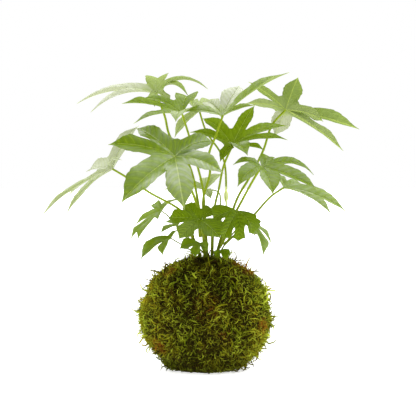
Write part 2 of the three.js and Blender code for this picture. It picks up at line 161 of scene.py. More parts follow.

# Each leaf: the stem and height it leaves from, its petiole's radius and way, the hub, and the way
# the blade faces: lean is the side it tilts to and tilt how far, in degrees. Then the half width of
# its lobes as a share of their length, its tone from dark green (0) to pale lime (1) and its gloss.
# Tone and gloss can be given for each lobe, and so can folds, a factor on how far its halves fold up.
# A tone is partly the leaf's own colour and partly painted light and shade: lobes that catch the light
# or a sheen are given paler tones, shaded lobes darker ones.
# Some leaves have notches that end further out (sinus), coarse teeth or another quilt.
# A lobe is its tip, the rise of its rib as a share of its length, a factor on its width, and a roll
# in degrees.
LEAVES = {
    "leaf_front_large": dict(
        stem="front", height=138, petiole=1.5, via=[(-10, -18, 172), (-20, -36, 197)],
        hub=(-31, -55, 219), lean=-95, tilt=46, width=0.2, quilt=1.6, folds=(1, 1, 1, 1, 0, 0.5),
        tone=(0.15, 0.25, 0.15, 0.42, 0.6, 0.5), gloss=(0.65, 1.2, 0.25, 0.9, 1.3, 1.2),
        lobes=[
            (8, -36, 233, 0.2, 1.05, 20), (-71, -30, 248, 0.12), (-98, -48, 231, 0.1),
            (-83, -92, 173, 0.08), (-21, -98, 167, 0.1), (18, -68, 202, 0.14),
        ],
    ),
    "leaf_left_drooping": dict(
        stem="left", height=137, petiole=1.3, via=[(-22, -14, 161), (-59, -19, 184), (-80, -18, 198)],
        hub=(-95, -18, 207), lean=-130, tilt=42, width=0.14, quilt=0.08,
        tone=(1, 1, 0.9, 0.85, 0.85, 0.9), gloss=(0.8, 1, 1, 1, 1, 0.8),
        lobes=[
            (-70, 18, 252, 0.08, 1.2), (-122, 20, 205, 0.09, 1.8), (-144, 6, 177, 0.08, 0.5),
            (-170, -14, 156, 0.08, 0.45), (-141, -40, 160, 0.09, 0.55), (-85, -36, 216, 0.3),
        ],
    ),
    "leaf_top_left": dict(
        stem="back", height=149, petiole=1.4, via=[(-17, 12, 210), (-38, 22, 242), (-43, 23, 262)],
        hub=(-52, 20, 286), lean=-100, tilt=12, width=0.16, quilt=0.08,
        tone=(0.6, 0.75, 1, 1, 0.7, 0.7, 0.6), gloss=(0.4, 0.3, 0.85, 0.85, 0.3, 0.3, 0.3),
        lobes=[
            (2, 36, 291, 0.22), (-50, 58, 301, 0.2, 2, -4), (-136, 40, 276, 0.1),
            (-118, -8, 265, 0.13, 0.65), (-53, 0, 271, 0.16, 1.9), (-38, 0, 273, 0.16, 1.4),
            (-18, 6, 282, 0.3, 1.2),
        ],
    ),
    "leaf_upper_left": dict(
        stem="back", height=143, petiole=1.3, via=[(-3, -4, 185), (-9, -8, 211), (-17, -16, 240)],
        hub=(-24, -26, 262), lean=-110, tilt=22, width=0.2, tone=(0.45, 0.35, 0.2, 0.5, 0.6),
        gloss=(0.4, 0.25, 0.15, 0.5, 0.8),
        lobes=[
            (-14, 18, 274, 0.28, 1.3), (-66, -8, 279, 0.13, 0.75), (-85, -30, 273, 0.08),
            (-72, -54, 252, 0.1, 0.5), (-30, -62, 253, 0.16),
        ],
    ),
    "leaf_back_pale": dict(
        stem="right_back", height=146, petiole=1.2, via=[(21, 19, 182), (18, 24, 218), (0, 35, 247)],
        hub=(-7, 34, 268), lean=-100, tilt=25, width=0.2, tone=0.8, gloss=0.4,
        lobes=[
            (17, 50, 261, 0.15), (8, 72, 278, 0.15), (-19, 66, 277, 0.15), (-28, 44, 263, 0.15),
            (-33, 30, 240, 0.1),
        ],
    ),
    "leaf_top_middle": dict(
        stem="front", height=144, petiole=1.4,
        via=[(-3, -14, 175), (4, -18, 203), (3, -24, 222), (10, -27, 241)], hub=(17, -20, 261),
        lean=-100, tilt=32, width=0.19, quilt=0.15, tone=(0.5, 0.5, 1, 0.9, 0.5),
        gloss=(0.5, 0.35, 1.3, 1.2, 0.8),
        lobes=[
            (49, -34, 271, 0.06, 0.8), (86, 10, 307, 0.06, 0.75, -25), (35, 22, 294, 0.05, 1.1),
            (0, 14, 276, 0.1, 1.3), (-22, -12, 265, 0.1),
        ],
    ),
    "leaf_top_right": dict(
        stem="right_back", height=151, petiole=1.4,
        via=[(33, 14, 178), (45, 22, 198), (60, 34, 227), (69, 36, 253)], hub=(83, 24, 269), lean=70,
        tilt=58, width=0.15, quilt=0.9, tone=(0.6, 0.3, 0.1, 0.5, 0.25, 0.5, 0.95), gloss=0.3,
        lobes=[
            (41, 34, 276, 0.12, 0.85), (44, 24, 298, 0.08, 0.75), (97, 44, 304, -0.12, 1.7),
            (121, 8, 256, 0.15, 1.2), (161, 36, 249, 0.06, 0.95, 20), (143, 22, 226, 0.07, 0.75, 25),
            (72, 50, 242, 0.1, 1.9),
        ],
    ),
    "leaf_middle_dark": dict(
        stem="middle", height=149, petiole=1.3, via=[(9, -9, 168), (13, -6, 186), (18, -3, 210)],
        hub=(27, 0, 231), lean=-90, tilt=32, width=0.17, quilt=0.6,
        tone=(0.4, 0.15, 0.2, 0.4, 0.1, 0.15, 0.25, 0.25),
        gloss=(0.5, 0.05, 0.15, 0.3, 0.03, 0.05, 0.12, 0.03),
        lobes=[
            (42, -42, 220, 0.14, 1.2), (60, -8, 226, 0.12), (84, 4, 237, 0.12, 0.8),
            (85, 22, 252, 0.1, 0.75), (51, 34, 274, 0.05, 0.75), (-4, 30, 260, 0.12, 1.1),
            (-17, 8, 245, 0.1), (14, -24, 214, 0.1),
        ],
    ),
    "leaf_right_middle": dict(
        stem="right", height=147, petiole=1.4, via=[(34, -16, 170), (49, -28, 198)], hub=(56, -32, 209),
        lean=-72, tilt=32, width=0.2, quilt=0.9, tone=(0.35, 0.35, 0.4, 0.4, 0.3, 0.35),
        gloss=(0.35, 0.45, 0.55, 0.65, 0.45, 0.3),
        lobes=[
            (27, -34, 211, 0.2), (31, -62, 189, 0.18, 1.1), (66, -72, 181, 0.12, 1.15),
            (111, -54, 186, 0.06, 0.85), (110, -10, 201, 0.18, 0.6), (66, 2, 219, 0.1),
        ],
    ),
    "leaf_right_low": dict(
        stem="right_back", height=130, petiole=1.3, via=[(34, 10, 143), (50, 10, 160), (67, 3, 179)],
        hub=(80, -2, 188), lean=-50, tilt=34, width=0.14, quilt=0.7, tone=(0.55, 0.45, 0.4, 0.4),
        gloss=(0.85, 0.8, 0.5, 0.4),
        lobes=[
            (127, -34, 161, 0.08), (144, -6, 163, 0.08, 1.2), (101, 34, 187, 0.15), (74, 26, 201, 0.1),
        ],
    ),
    "leaf_front_low_left": dict(
        stem="front", height=123, petiole=1.1, via=[(-3, -27, 139)], hub=(-7, -38, 156), lean=-90,
        tilt=54, width=0.34, sinus=0.55, teeth=True, quilt=1.4, tone=(0.3, 0.3, 0.4, 0.6, 0.4),
        gloss=(0.06, 0.06, 0.1, 0.1, 0.2),
        lobes=[
            (8, -30, 166, 0.08, 1.3), (-22, -28, 171, 0.08), (-38, -40, 157, 0.08),
            (-27, -54, 137, 0.08), (14, -58, 138, 0.1, 1.1),
        ],
    ),
    "leaf_front_low_right": dict(
        stem="middle", height=120, petiole=1.1, via=[(15, -15, 128), (24, -24, 147)],
        hub=(31, -34, 165), lean=-74, tilt=52, width=0.34, sinus=0.62, teeth=True, quilt=1.4,
        tone=(0.15, 0.2, 0.0, 0.2), gloss=(0.08, 0.1, 0.03, 0.1),
        lobes=[
            (7, -40, 156, 0.16, 1.5), (17, -46, 137, 0.12, 1.45), (32, -38, 134, 0.2),
            (47, -38, 141, 0.24, 1.15),
        ],
    ),
    "leaf_low_right_pale": dict(
        stem="right", height=121, petiole=0.9, via=[(22, -8, 134)], hub=(38, -14, 154), lean=-25,
        tilt=39, width=0.25, tone=0.45, gloss=0.5,
        lobes=[(58, -26, 119, 0.15, 1.3), (67, 2, 130, 0.12), (50, 14, 138, 0.05)],
    ),
    "leaf_low_left_pale": dict(
        stem="back", height=120, petiole=0.8, via=[(-22, 12, 138), (-39, 12, 158)], hub=(-46, 8, 164),
        lean=-150, tilt=36, width=0.25, tone=0.5, gloss=0.35,
        lobes=[
            (-29, 22, 175, 0.12), (-54, 28, 171, 0.12), (-74, 22, 149, 0.04), (-78, 4, 135, 0.05),
            (-70, -14, 135, 0.05), (-49, -12, 155, 0.12),
        ],
    ),
    "leaf_low_left_dark": dict(
        stem="left", height=120, petiole=0.8, via=[(-24, -8, 129)], hub=(-36, -8, 136), lean=-140,
        tilt=48, width=0.27, tone=0.25, gloss=0.3,
        lobes=[(-29, 4, 144, 0.1), (-67, -12, 114, 0.12), (-44, -26, 119, 0.15)],
    ),
    "leaf_left_inner": dict(
        stem="left", height=130, petiole=0.7, via=[(-20, 0, 139)], hub=(-29, 1, 149), lean=-120,
        tilt=32, width=0.24, tone=0.6, gloss=0.4,
        lobes=[(-23, 16, 159, 0.1), (-42, 3, 153, 0.1), (-47, -4, 141, 0.12)],
    ),
    "leaf_base_left": dict(
        stem="front", height=117, petiole=0.8, via=[(-3, -18, 125)], hub=(-6, -24, 132), lean=-108,
        tilt=52, width=0.36, tone=0.35, gloss=0.15,
        lobes=[(-27, -28, 126, 0.12), (-11, -38, 118, 0.12), (2, -36, 124, 0.12)],
    ),
    "leaf_base_right": dict(
        stem="middle", height=117, petiole=0.7, via=[(10, -14, 121)], hub=(13, -18, 124), lean=-60,
        tilt=45, width=0.4, tone=0.2, gloss=0.02,
        lobes=[(10, -29, 117, 0.12), (20, -30, 115, 0.12), (25, -20, 119, 0.12)],
    ),
    "leaf_back_middle": dict(
        stem="right_back", height=136, petiole=0.9, via=[(15, 16, 166), (13, 21, 183)],
        hub=(0, 24, 186), lean=-110, tilt=24, width=0.22, tone=0.8, gloss=0.4,
        lobes=[(16, 46, 202, 0.1), (-1, 50, 198, 0.1), (-44, 34, 185, 0.1), (5, 6, 176, 0.1)],
    ),
}

# Young shoot: a folded leaf that stands on the right stem's top. Its bud is given by height and radius.
SHOOT_PATH = [(21.3, -5.6, 154.8), (21.5, -3, 164), (20.5, 0, 174)]
SHOOT_RADIUS = 0.9
SHOOT_BUD = ((0, 0.4), (2, 1.5), (6, 2), (12, 1.2), (15.5, 0.5), (17, 0.1))
BUD_RINGS = 28
BUD_SIDES = 30

# Pleats of the bud: how many, their depth as a share of the radius, and turn in radians a millimetre.
PLEATS = 5
PLEAT_DEPTH = 0.2
PLEAT_TURN = 0.12


def colour(red, green, blue):
    """A display colour, 0 to 255, as the linear values that shaders take."""
    def linear(value):
        share = value / 255
        return share / 12.92 if share <= 0.04045 else ((share + 0.055) / 1.055) ** 2.4
    return linear(red), linear(green), linear(blue), 1


def colour_property(name, description, default):
    return bpy.props.FloatVectorProperty(
        name=name, description=description, subtype="COLOR", size=4, min=0, max=1, default=default
    )


class MossSettings(bpy.types.PropertyGroup):
    strands_per_cm2: bpy.props.FloatProperty(
        name="Strands per cm²", description="Strands in each layer of the moss", default=17, min=0
    )
    strand_length: bpy.props.FloatProperty(
        name="Strand length", description="Length of a middling strand", default=0.0045, unit="LENGTH"
    )
    strand_width: bpy.props.FloatProperty(
        name="Strand width", description="Width of a strand at its root", default=0.00054, unit="LENGTH"
    )
    bright: colour_property("Bright moss", "Fresh strands", colour(202, 216, 66))
    straw: colour_property("Yellow moss", "Strands of the yellower zones", colour(178, 160, 32))
    fresh: colour_property("Green moss", "Most strands", colour(122, 141, 22))
    shaded: colour_property("Shaded moss", "Old and buried strands", colour(65, 52, 13))
    rust: colour_property("Dry moss", "Dried patches", colour(176, 100, 30))
    hollow: colour_property("Moss in the hollow", "Strands in the shade of the stems", colour(34, 30, 4))


class LeafSettings(bpy.types.PropertyGroup):
    thickness: bpy.props.FloatProperty(
        name="Blade thickness", description="Thickness of a blade at its ribs",
        default=0.0007, unit="LENGTH",
    )
    fold: bpy.props.FloatProperty(
        name="Fold", description="How far each half of a lobe folds up from its rib",
        default=math.radians(20), unit="ROTATION",
    )
    # Dark, green and pale follow each place's tone, partly the leaf's own age and partly painted light and
    # shade.
    dark: colour_property("Dark leaf", "Old leaves and shaded lobes", colour(70, 96, 0))
    green: colour_property("Green leaf", "Upper side of most leaves", colour(106, 130, 6))
    pale: colour_property("Pale leaf", "Young leaves", colour(150, 172, 62))
    # The under side colour is also painted on the tops of the palest lobes as their sheen.
    under: colour_property("Under side", "Lower side of the blades", colour(163, 169, 137))
    vein: colour_property("Veins", "Ribs and side veins", colour(178, 194, 100))
    lit: colour_property("Light through the blade", "Blade against the light", colour(150, 178, 30))


class StemSettings(bpy.types.PropertyGroup):
    olive: colour_property("Petioles", "Petioles and young stems", colour(136, 154, 30))
    brown: colour_property("Stem base", "Old wood of the stems", colour(96, 106, 12))


class StageSettings(bpy.types.PropertyGroup):
    distance: bpy.props.FloatProperty(
        name="Camera distance", description="From the camera to its target", default=1.7, unit="LENGTH"
    )
    pitch: bpy.props.FloatProperty(
        name="Camera pitch", description="How far the camera looks down",
        default=math.radians(1), unit="ROTATION",
    )
    focal: bpy.props.FloatProperty(
        name="Focal length", description="Focal length in millimetres on a 36 mm sensor", default=143
    )
    target: bpy.props.FloatVectorProperty(
        name="Camera target", description="Point in the middle of the picture",
        default=(0.002, 0, 0.167), unit="LENGTH",
    )


class Value:
    """A socket of a node tree that takes part in Python arithmetic."""

    def __init__(self, tree, socket):
        self.tree = tree
        self.socket = socket

    def math(self, operation, *others):
        inputs = dict(enumerate((self, *others)))
        node = add_node(self.tree, "ShaderNodeMath", {"operation": operation}, inputs)
        return Value(self.tree, node.outputs[0])

    def __add__(self, other):
        return self.math("ADD", other)

    def __sub__(self, other):
        return self.math("SUBTRACT", other)

    def __rsub__(self, other):
        return (self * -1) + other

    def __mul__(self, other):
        return self.math("MULTIPLY", other)

    __radd__ = __add__
    __rmul__ = __mul__

    def fade(self, low, high):
        """0 below low and 1 above high, with a smooth step between."""
        node = add_node(
            self.tree, "ShaderNodeMapRange", {"interpolation_type": "SMOOTHSTEP"},
            {"Value": self, "From Min": low, "From Max": high},
        )
        return Value(self.tree, node.outputs["Result"])


def add_node(tree, kind, settings=None, inputs=None):
    """A node of a kind with its settings made first and then its sockets, by name or number."""
    node = tree.nodes.new(kind)
    for name, setting in (settings or {}).items():
        setattr(node, name, setting)
    for key, given in (inputs or {}).items():
        if isinstance(given, Value):
            tree.links.new(given.socket, node.inputs[key])
        elif isinstance(given, bpy.types.NodeSocket):
            tree.links.new(given, node.inputs[key])
        else:
            node.inputs[key].default_value = given
    return node


class Tree:
    """A node tree under construction, emptied first."""

    def __init__(self, tree):
        self.tree = tree
        tree.nodes.clear()

    def node(self, kind, settings=None, inputs=None):
        return add_node(self.tree, kind, settings, inputs)

    def value(self, socket):
        return Value(self.tree, socket)

    def parts(self, vector):
        """X, Y and Z of a vector."""
        split = self.node("ShaderNodeSeparateXYZ", inputs={"Vector": vector})
        return [self.value(socket) for socket in split.outputs]


class Finish(Tree):
    """A material under construction."""

    def __init__(self, name):
        self.material = bpy.data.materials.new(name)
        self.material.use_nodes = True
        super().__init__(self.material.node_tree)

    def place(self):
        return self.node("ShaderNodeTexCoord").outputs["Object"]

    def mark(self, name):
        """A point attribute of the piece."""
        node = self.node("ShaderNodeAttribute", {"attribute_name": name})
        return self.value(node.outputs["Fac"])

    def map(self, name):
        """The two values of a piece's own map."""
        return self.parts(self.node("ShaderNodeUVMap", {"uv_map": name}).outputs["UV"])[:2]

    def noise(self, scale, detail=2, roughness=0.5, stretch=None):
        """Cloudy noise on the piece's own coordinates, scale in clouds a metre."""
        where = self.place()
        if stretch:
            mapping = self.node("ShaderNodeMapping", inputs={"Vector": where, "Scale": stretch})
            where = mapping.outputs["Vector"]
        inputs = {"Vector": where, "Scale": scale, "Detail": detail, "Roughness": roughness}
        return self.value(self.node("ShaderNodeTexNoise", inputs=inputs).outputs["Fac"])

    def mix(self, share, first, second):
        """A colour between two colours."""
        settings = {"data_type": "RGBA", "clamp_factor": True}
        return self.node("ShaderNodeMix", settings, {"Factor": share, 6: first, 7: second}).outputs[2]

    def layered(self, layers):
        """A colour made of layers, each a share and a tint laid over those before it."""
        shown = layers[0][1]
        for share, tint in layers[1:]:
            shown = self.mix(share, shown, tint)
        return shown

    def glow(self, layers):
        """Light that a thin piece lets through, in layers as a colour has them."""
        shown = None
        for share, tint in layers:
            lit = self.node("ShaderNodeBsdfTranslucent", inputs={"Color": tint}).outputs["BSDF"]
            shown = self.blend(share, shown, lit) if shown else lit
        return shown

    def blend(self, share, first, second):
        """A shader between two shaders."""
        return self.node("ShaderNodeMixShader", inputs={0: share, 1: first, 2: second}).outputs["Shader"]

    def distance(self, centre):
        """How far a place of the piece is from a point, in metres."""
        node = self.node("ShaderNodeVectorMath", {"operation": "DISTANCE"}, {0: self.place(), 1: centre})
        return self.value(node.outputs["Value"])

    def bump(self, height, distance, strength):
        """Relief from a height; distance is what a height of 1 stands for, in metres."""
        inputs = {"Height": height, "Distance": distance, "Strength": strength}
        return self.node("ShaderNodeBump", inputs=inputs).outputs["Normal"]

    def surface(self, light_through=None, **sockets):
        """The main shader, socket names with _ for spaces. light_through is the glow and share of the
        light that a thin piece lets through; its inner sides are clear, so it acts as one sheet."""
        inputs = {name.replace("_", " "): given for name, given in sockets.items()}
        shown = self.node("ShaderNodeBsdfPrincipled", inputs=inputs).outputs["BSDF"]
        if light_through:
            glow, share = light_through
            inner = self.node("ShaderNodeNewGeometry").outputs["Backfacing"]
            clear = self.node("ShaderNodeBsdfTransparent").outputs["BSDF"]
            shown = self.blend(inner, self.blend(share, shown, glow), clear)
        self.node("ShaderNodeOutputMaterial", inputs={"Surface": shown})
        return self.material


def circle(count):
    """Angles that divide a circle evenly."""
    return [2 * math.pi * k / count for k in range(count)]


class Form:
    """Points and faces of one piece in millimetres, with a map and marks on its points."""

    def __init__(self):
        self.points = []
        self.faces = []
        self.corners = []
        self.slots = []
        self.marks = {}

    def point(self, place, **marks):
        self.points.append(Vector(place))
        for name, mark in marks.items():
            self.marks.setdefault(name, {})[len(self.points) - 1] = mark
        return len(self.points) - 1

    def face(self, indices, corners=None, slot=0):
        self.faces.append(indices)
        self.corners.append(corners or [(0, 0)] * len(indices))
        self.slots.append(slot)

    def ring(self, points):
        return [self.point(place) for place in points]

    def bridge(self, lower, upper, slot=0, low=0, high=1):
        """A band of faces between two rings."""
        count = len(lower)
        for i in range(count):
            j = (i + 1) % count
            left, right = i / count, (i + 1) / count
            corners = [(left, low), (right, low), (right, high), (left, high)]
            self.face([lower[i], lower[j], upper[j], upper[i]], corners, slot)

    def bands(self, rings):
        """A band between each ring and the next."""
        for lower, upper in zip(rings, rings[1:]):
            self.bridge(lower, upper)

    def cap(self, ring, centre, slot=0, level=0, flip=False):
        """A fan that closes a ring; flip it at the start of a tube."""
        middle = self.point(centre)
        count = len(ring)
        for i in range(count):
            pair = [ring[i], ring[(i + 1) % count]]
            if flip:
                pair.reverse()
            self.face([*pair, middle], [(i / count, level)] * 3, slot)

    def tube(self, path, radii, sides, slot=0):
        """A closed tube along a path, with a radius at each of its points."""
        rings = []
        side = None
        last = len(path) - 1
        for i, (centre, radius) in enumerate(zip(path, radii)):
            heading = (path[min(i + 1, last)] - path[max(i - 1, 0)]).normalized()
            if side is None:
                side = heading.orthogonal().normalized()
            side = (side - heading * side.dot(heading)).normalized()
            other = heading.cross(side)
            rings.append(self.ring(
                centre + (side * math.cos(a) + other * math.sin(a)) * radius for a in circle(sides)
            ))
        for i in range(last):
            self.bridge(rings[i], rings[i + 1], slot, i / last, (i + 1) / last)
        self.cap(rings[0], path[0], slot, 0, flip=True)
        self.cap(rings[-1], path[-1], slot, 1)

    def build(self, name, materials, crease=None):
        """The piece as an object at the origin, smooth shaded, in metres."""
        mesh = bpy.data.meshes.new(name)
        mesh.from_pydata([place * MM for place in self.points], [], self.faces)
        flat = [value for face in self.corners for corner in face for value in corner]
        mesh.uv_layers.new(name="map").data.foreach_set("uv", flat)
        mesh.polygons.foreach_set("material_index", self.slots)
        for mark, values in self.marks.items():
            attribute = mesh.attributes.new(mark, "FLOAT", "POINT")
            attribute.data.foreach_set("value", [values.get(i, 0) for i in range(len(self.points))])
        for material in materials:
            mesh.materials.append(material)
        mesh.shade_smooth()
        if crease:
            mesh.set_sharp_from_angle(angle=crease)
        mesh.update()
        piece = bpy.data.objects.new(name, mesh)
        bpy.context.scene.collection.objects.link(piece)
        return piece


def settle(piece, slot, *nodes):
    """Puts a finished piece on the body in place of the nodes that it stands for; slot is not used."""
    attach(piece, BODY)
    if nodes:
        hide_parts(*nodes)


def blend_step(low, high, value):
    """0 below low and 1 above high, with a smooth step between."""
    share = min(max((value - low) / (high - low), 0), 1)
    return share * share * (3 - 2 * share)


def profile_at(profile, place):
    """The height of a smooth curve through (place, height) pairs."""
    last = len(profile) - 1
    k = next((i for i in range(last) if place <= profile[i + 1][0]), last - 1)

    def slope(i):
        before, after = profile[max(i - 1, 0)], profile[min(i + 1, last)]
        return (after[1] - before[1]) / (after[0] - before[0])

    (x0, y0), (x1, y1) = profile[k], profile[k + 1]
    span = x1 - x0
    t = min(max((place - x0) / span, 0), 1)
    start, end = y0 + slope(k) * span * t, y1 - slope(k + 1) * span * (1 - t)
    share = t * t * (3 - 2 * t)
    return start * (1 - share) + end * share


def smooth_path(points, steps):
    """Points of a centripetal curve through the given points, with steps for each stretch."""
    given = [Vector(point) for point in points]
    given = [given[0] * 2 - given[1], *given, given[-1] * 2 - given[-2]]
    path = []
    for i in range(len(given) - 3):
        p0, p1, p2, p3 = given[i:i + 4]
        d0, d1, d2 = (max((b - a).length, 1e-6) ** 0.5 for a, b in ((p0, p1), (p1, p2), (p2, p3)))
        leave = ((p1 - p0) / d0 - (p2 - p0) / (d0 + d1) + (p2 - p1) / d1) * d1
        reach = ((p2 - p1) / d1 - (p3 - p1) / (d1 + d2) + (p3 - p2) / d2) * d1
        for k in range(steps):
            t = k / steps
            path.append(
                p1 * (2 * t**3 - 3 * t**2 + 1) + leave * (t**3 - 2 * t**2 + t)
                + p2 * (3 * t**2 - 2 * t**3) + reach * (t**3 - t**2)
            )
    path.append(given[-2].copy())
    return path


def lumps(x, y, z):
    """The slow waves of the moss ball's surface, for a point of the unit sphere."""
    waves = math.sin(5.1 * x + 2.3 * z) * math.sin(4.3 * y + 1.1) + math.sin(6.7 * z - 3.1 * x)
    return LUMP_HEIGHT * waves


def ball_ring(radius, half_height, centre_z, level, relief):
    """A ring of an ellipsoid at an angle above its middle, its top drawn over to the mouth."""
    points = []
    for angle in circle(AROUND):
        x, y, z = math.cos(level) * math.cos(angle), math.cos(level) * math.sin(angle), math.sin(level)
        raised = relief(x, y, z)
        wide = radius + raised
        shift = MOUTH_SHIFT * blend_step(0.7, 1, z)
        place = Vector((x * wide + shift, y * wide, centre_z + z * (half_height + raised)))
        place.z = max(place.z, 0)
        points.append(place)
    return points


def crumbs(x, y, z, count):
    return noise.noise(Vector((x, y, z)) * count)


def skin_relief(x, y, z):
    """Lumps with coarse and fine crumbs on them."""
    raised = crumbs(x, y, z, COARSE_CRUMBS) + FINE_SHARE * crumbs(x, y, z, FINE_CRUMBS)
    return lumps(x, y, z) + CRUMB_HEIGHT * raised - SKIN_DEPTH


def soil_relief(x, y, z):
    return SOIL_CRUMB_HEIGHT * crumbs(x, y, z, SOIL_CRUMBS) - SOIL_CRUMB_HEIGHT


def no_relief(x, y, z):
    return 0


def ball_levels(rings, radius, low):
    """Angles above the middle from near the bottom up to the mouth's rim."""
    top = math.acos(MOUTH_RADIUS / radius)
    return [low + (top - low) * k / rings for k in range(rings + 1)]


def moss_skin(with_inside):
    """The moss ball's outer skin from the flat spot to the mouth, and its inside if asked for."""
    form = Form()
    flat = -math.asin(BALL_CENTRE_Z / (BALL_HALF_HEIGHT - SKIN_DEPTH))
    rings = [
        form.ring(ball_ring(BALL_RADIUS, BALL_HALF_HEIGHT, BALL_CENTRE_Z, level, skin_relief))
        for level in ball_levels(SKIN_RINGS, BALL_RADIUS, flat)
    ]
    form.bands(rings)
    if with_inside:
        form.cap(rings[0], (0, 0, 0), flip=True)
        inside = [
            form.ring(ball_ring(CAVITY_RADIUS, CAVITY_HALF_HEIGHT, CAVITY_CENTRE_Z, level, no_relief))
            for level in reversed(ball_levels(CAVITY_RINGS, CAVITY_RADIUS, -math.pi / 2 + 0.1))
        ]
        form.bands([rings[-1], *inside])
        form.cap(inside[-1], (0, 0, CAVITY_CENTRE_Z - CAVITY_HALF_HEIGHT))
    return form


def moss_skin_finish():
    finish = Finish("moss_skin")
    patches = finish.noise(420, 4, 0.7)
    # Near black to dark brown: the bed of old moss, made this dark as painted shade in the gaps between the
    # strands.
    base = finish.mix(patches.fade(0.35, 0.7), colour(16, 12, 2), colour(48, 40, 6))
    relief = finish.noise(900, 3, 0.7)
    return finish.surface(
        Base_Color=base, Roughness=1.0, Specular_IOR_Level=0.05, Normal=finish.bump(relief, 0.0015, 0.8)
    )


# Dry patches of the moss: centre in millimetres, radius, strength.
DRY_PATCHES = (
    (38, -12, 108, 18, 0.9), (-49, -35, 27, 13, 0.9), (59, -33, 49, 13, 0.8), (2, -65, 70, 20, 0.3),
    (-36, -27, 104, 13, 0.6), (20, -62, 38, 10, 0.5), (30, 52, 40, 16, 0.8), (-40, 45, 80, 18, 0.6),
    (5, 60, 85, 12, 0.7),
)

# The shaded hollow in front of the stems: centre in millimetres and radius.
HOLLOW = (0, -24, 116, 20)


def moss_strand_finish(settings):
    """Strands from shaded to bright in green and yellow zones, with dry patches; painted light makes them
    brighter and yellower at the ball's sides, and painted shade makes them dark at the root, in the hollow
    before the stems and at the foot of the ball.
    """
    finish = Finish("moss_strands")
    tone = finish.mark("tone")
    reach = finish.mark("reach")
    zones = finish.noise(24, 2, 0.5)
    tufts = finish.noise(95, 3, 0.6)
    sideways, _, height = finish.parts(finish.place())
    # Painted light: strands are fresher, brighter and yellower towards the ball's left and right sides,
    # where the side light falls.
    painted_side_light = sideways.math("ABSOLUTE").fade(0.03, 0.066)
    freshness_and_side_light = tone + (zones - 0.5) * 0.5 + (tufts - 0.5) * 0.5 + painted_side_light * 0.3
    yellower = finish.noise(34, 3, 0.6).fade(0.42, 0.6) * freshness_and_side_light.fade(0.1, 0.6)
    ragged = (finish.noise(160, 3, 0.7) - 0.5) * 0.024
    scattered = finish.noise(520, 2, 0.6).fade(0.4, 0.6) * 0.8 + 0.2

    def near(x, y, z, radius, inner):
        """1 within an inner share of a radius round a place and 0 past it, with a ragged edge."""
        away = finish.distance((x * MM, y * MM, z * MM)) + ragged
        return 1 - away.fade(radius * MM * inner, radius * MM)

    fresh_rest = 1
    for x, y, z, radius, strength in DRY_PATCHES:
        fresh_rest = (1 - near(x, y, z, radius, 0.4) * scattered * strength) * fresh_rest
    living = [
        (1, settings.shaded),
        (freshness_and_side_light.fade(0.1, 0.6), settings.fresh),
        (yellower * (0.55 + painted_side_light * 0.35), settings.straw),
        (freshness_and_side_light.fade(0.6, 1.05), settings.bright),
        (1 - fresh_rest, settings.rust),
    ]
    # Painted shade: strands darken towards their roots, deep among the others.
    root = (1 - reach.fade(0, 0.6)) * 0.7
    hollow = near(*HOLLOW, 0.3) * 0.85
    # Painted shade: strands darken near the floor, under the ball.
    foot = (1 - height.fade(0, 0.03)) * 0.6
    # The painted shade at the roots, in the hollow and at the foot is laid over the colour and, as one dark
    # tint, over the light through the strands.
    buried = [(root, settings.shaded), (hollow, settings.hollow), (foot, colour(44, 40, 2))]
    dark = 1 - (1 - root) * (1 - hollow) * (1 - foot)
    glow = finish.glow([*living, (dark, colour(54, 44, 9))])
    return finish.surface(
        light_through=(glow, 0.35), Base_Color=finish.layered(living + buried), Roughness=0.8,
        Specular_IOR_Level=0.02,
    )


# Middle and end of each kind of strand, which starts at the origin and is about one unit long.
STRAND_SHAPES = (
    ((0.45, 0.0, 0.5), (0.1, 0.05, 1.0)),
    ((0.6, 0.1, 0.75), (0.85, 0.25, 0.1)),
    ((-0.2, 0.3, 0.8), (0.6, 0.5, 0.7)),
    ((-0.6, 0.1, 0.45), (0.25, -0.2, 0.9)),
    ((0.1, -0.6, 0.6), (-0.6, -0.5, 0.6)),
)
STRAND_STEPS = 3
STRAND_SIDES = 3
STRAND_TAPER = 0.85

# Least height of a strand's points over the floor, in metres.
FLOOR_GAP = 0.0003

# Named inputs of the tree that plants the strands, and their kinds of socket.
STRAND_INPUTS = {
    "Skin": "Geometry", "Strands per square metre": "Float", "Seed": "Int", "Length": "Float",
    "Width share": "Float", "Least lean": "Float", "Most lean": "Float", "Lowest tone": "Float",
    "Highest tone": "Float",
}


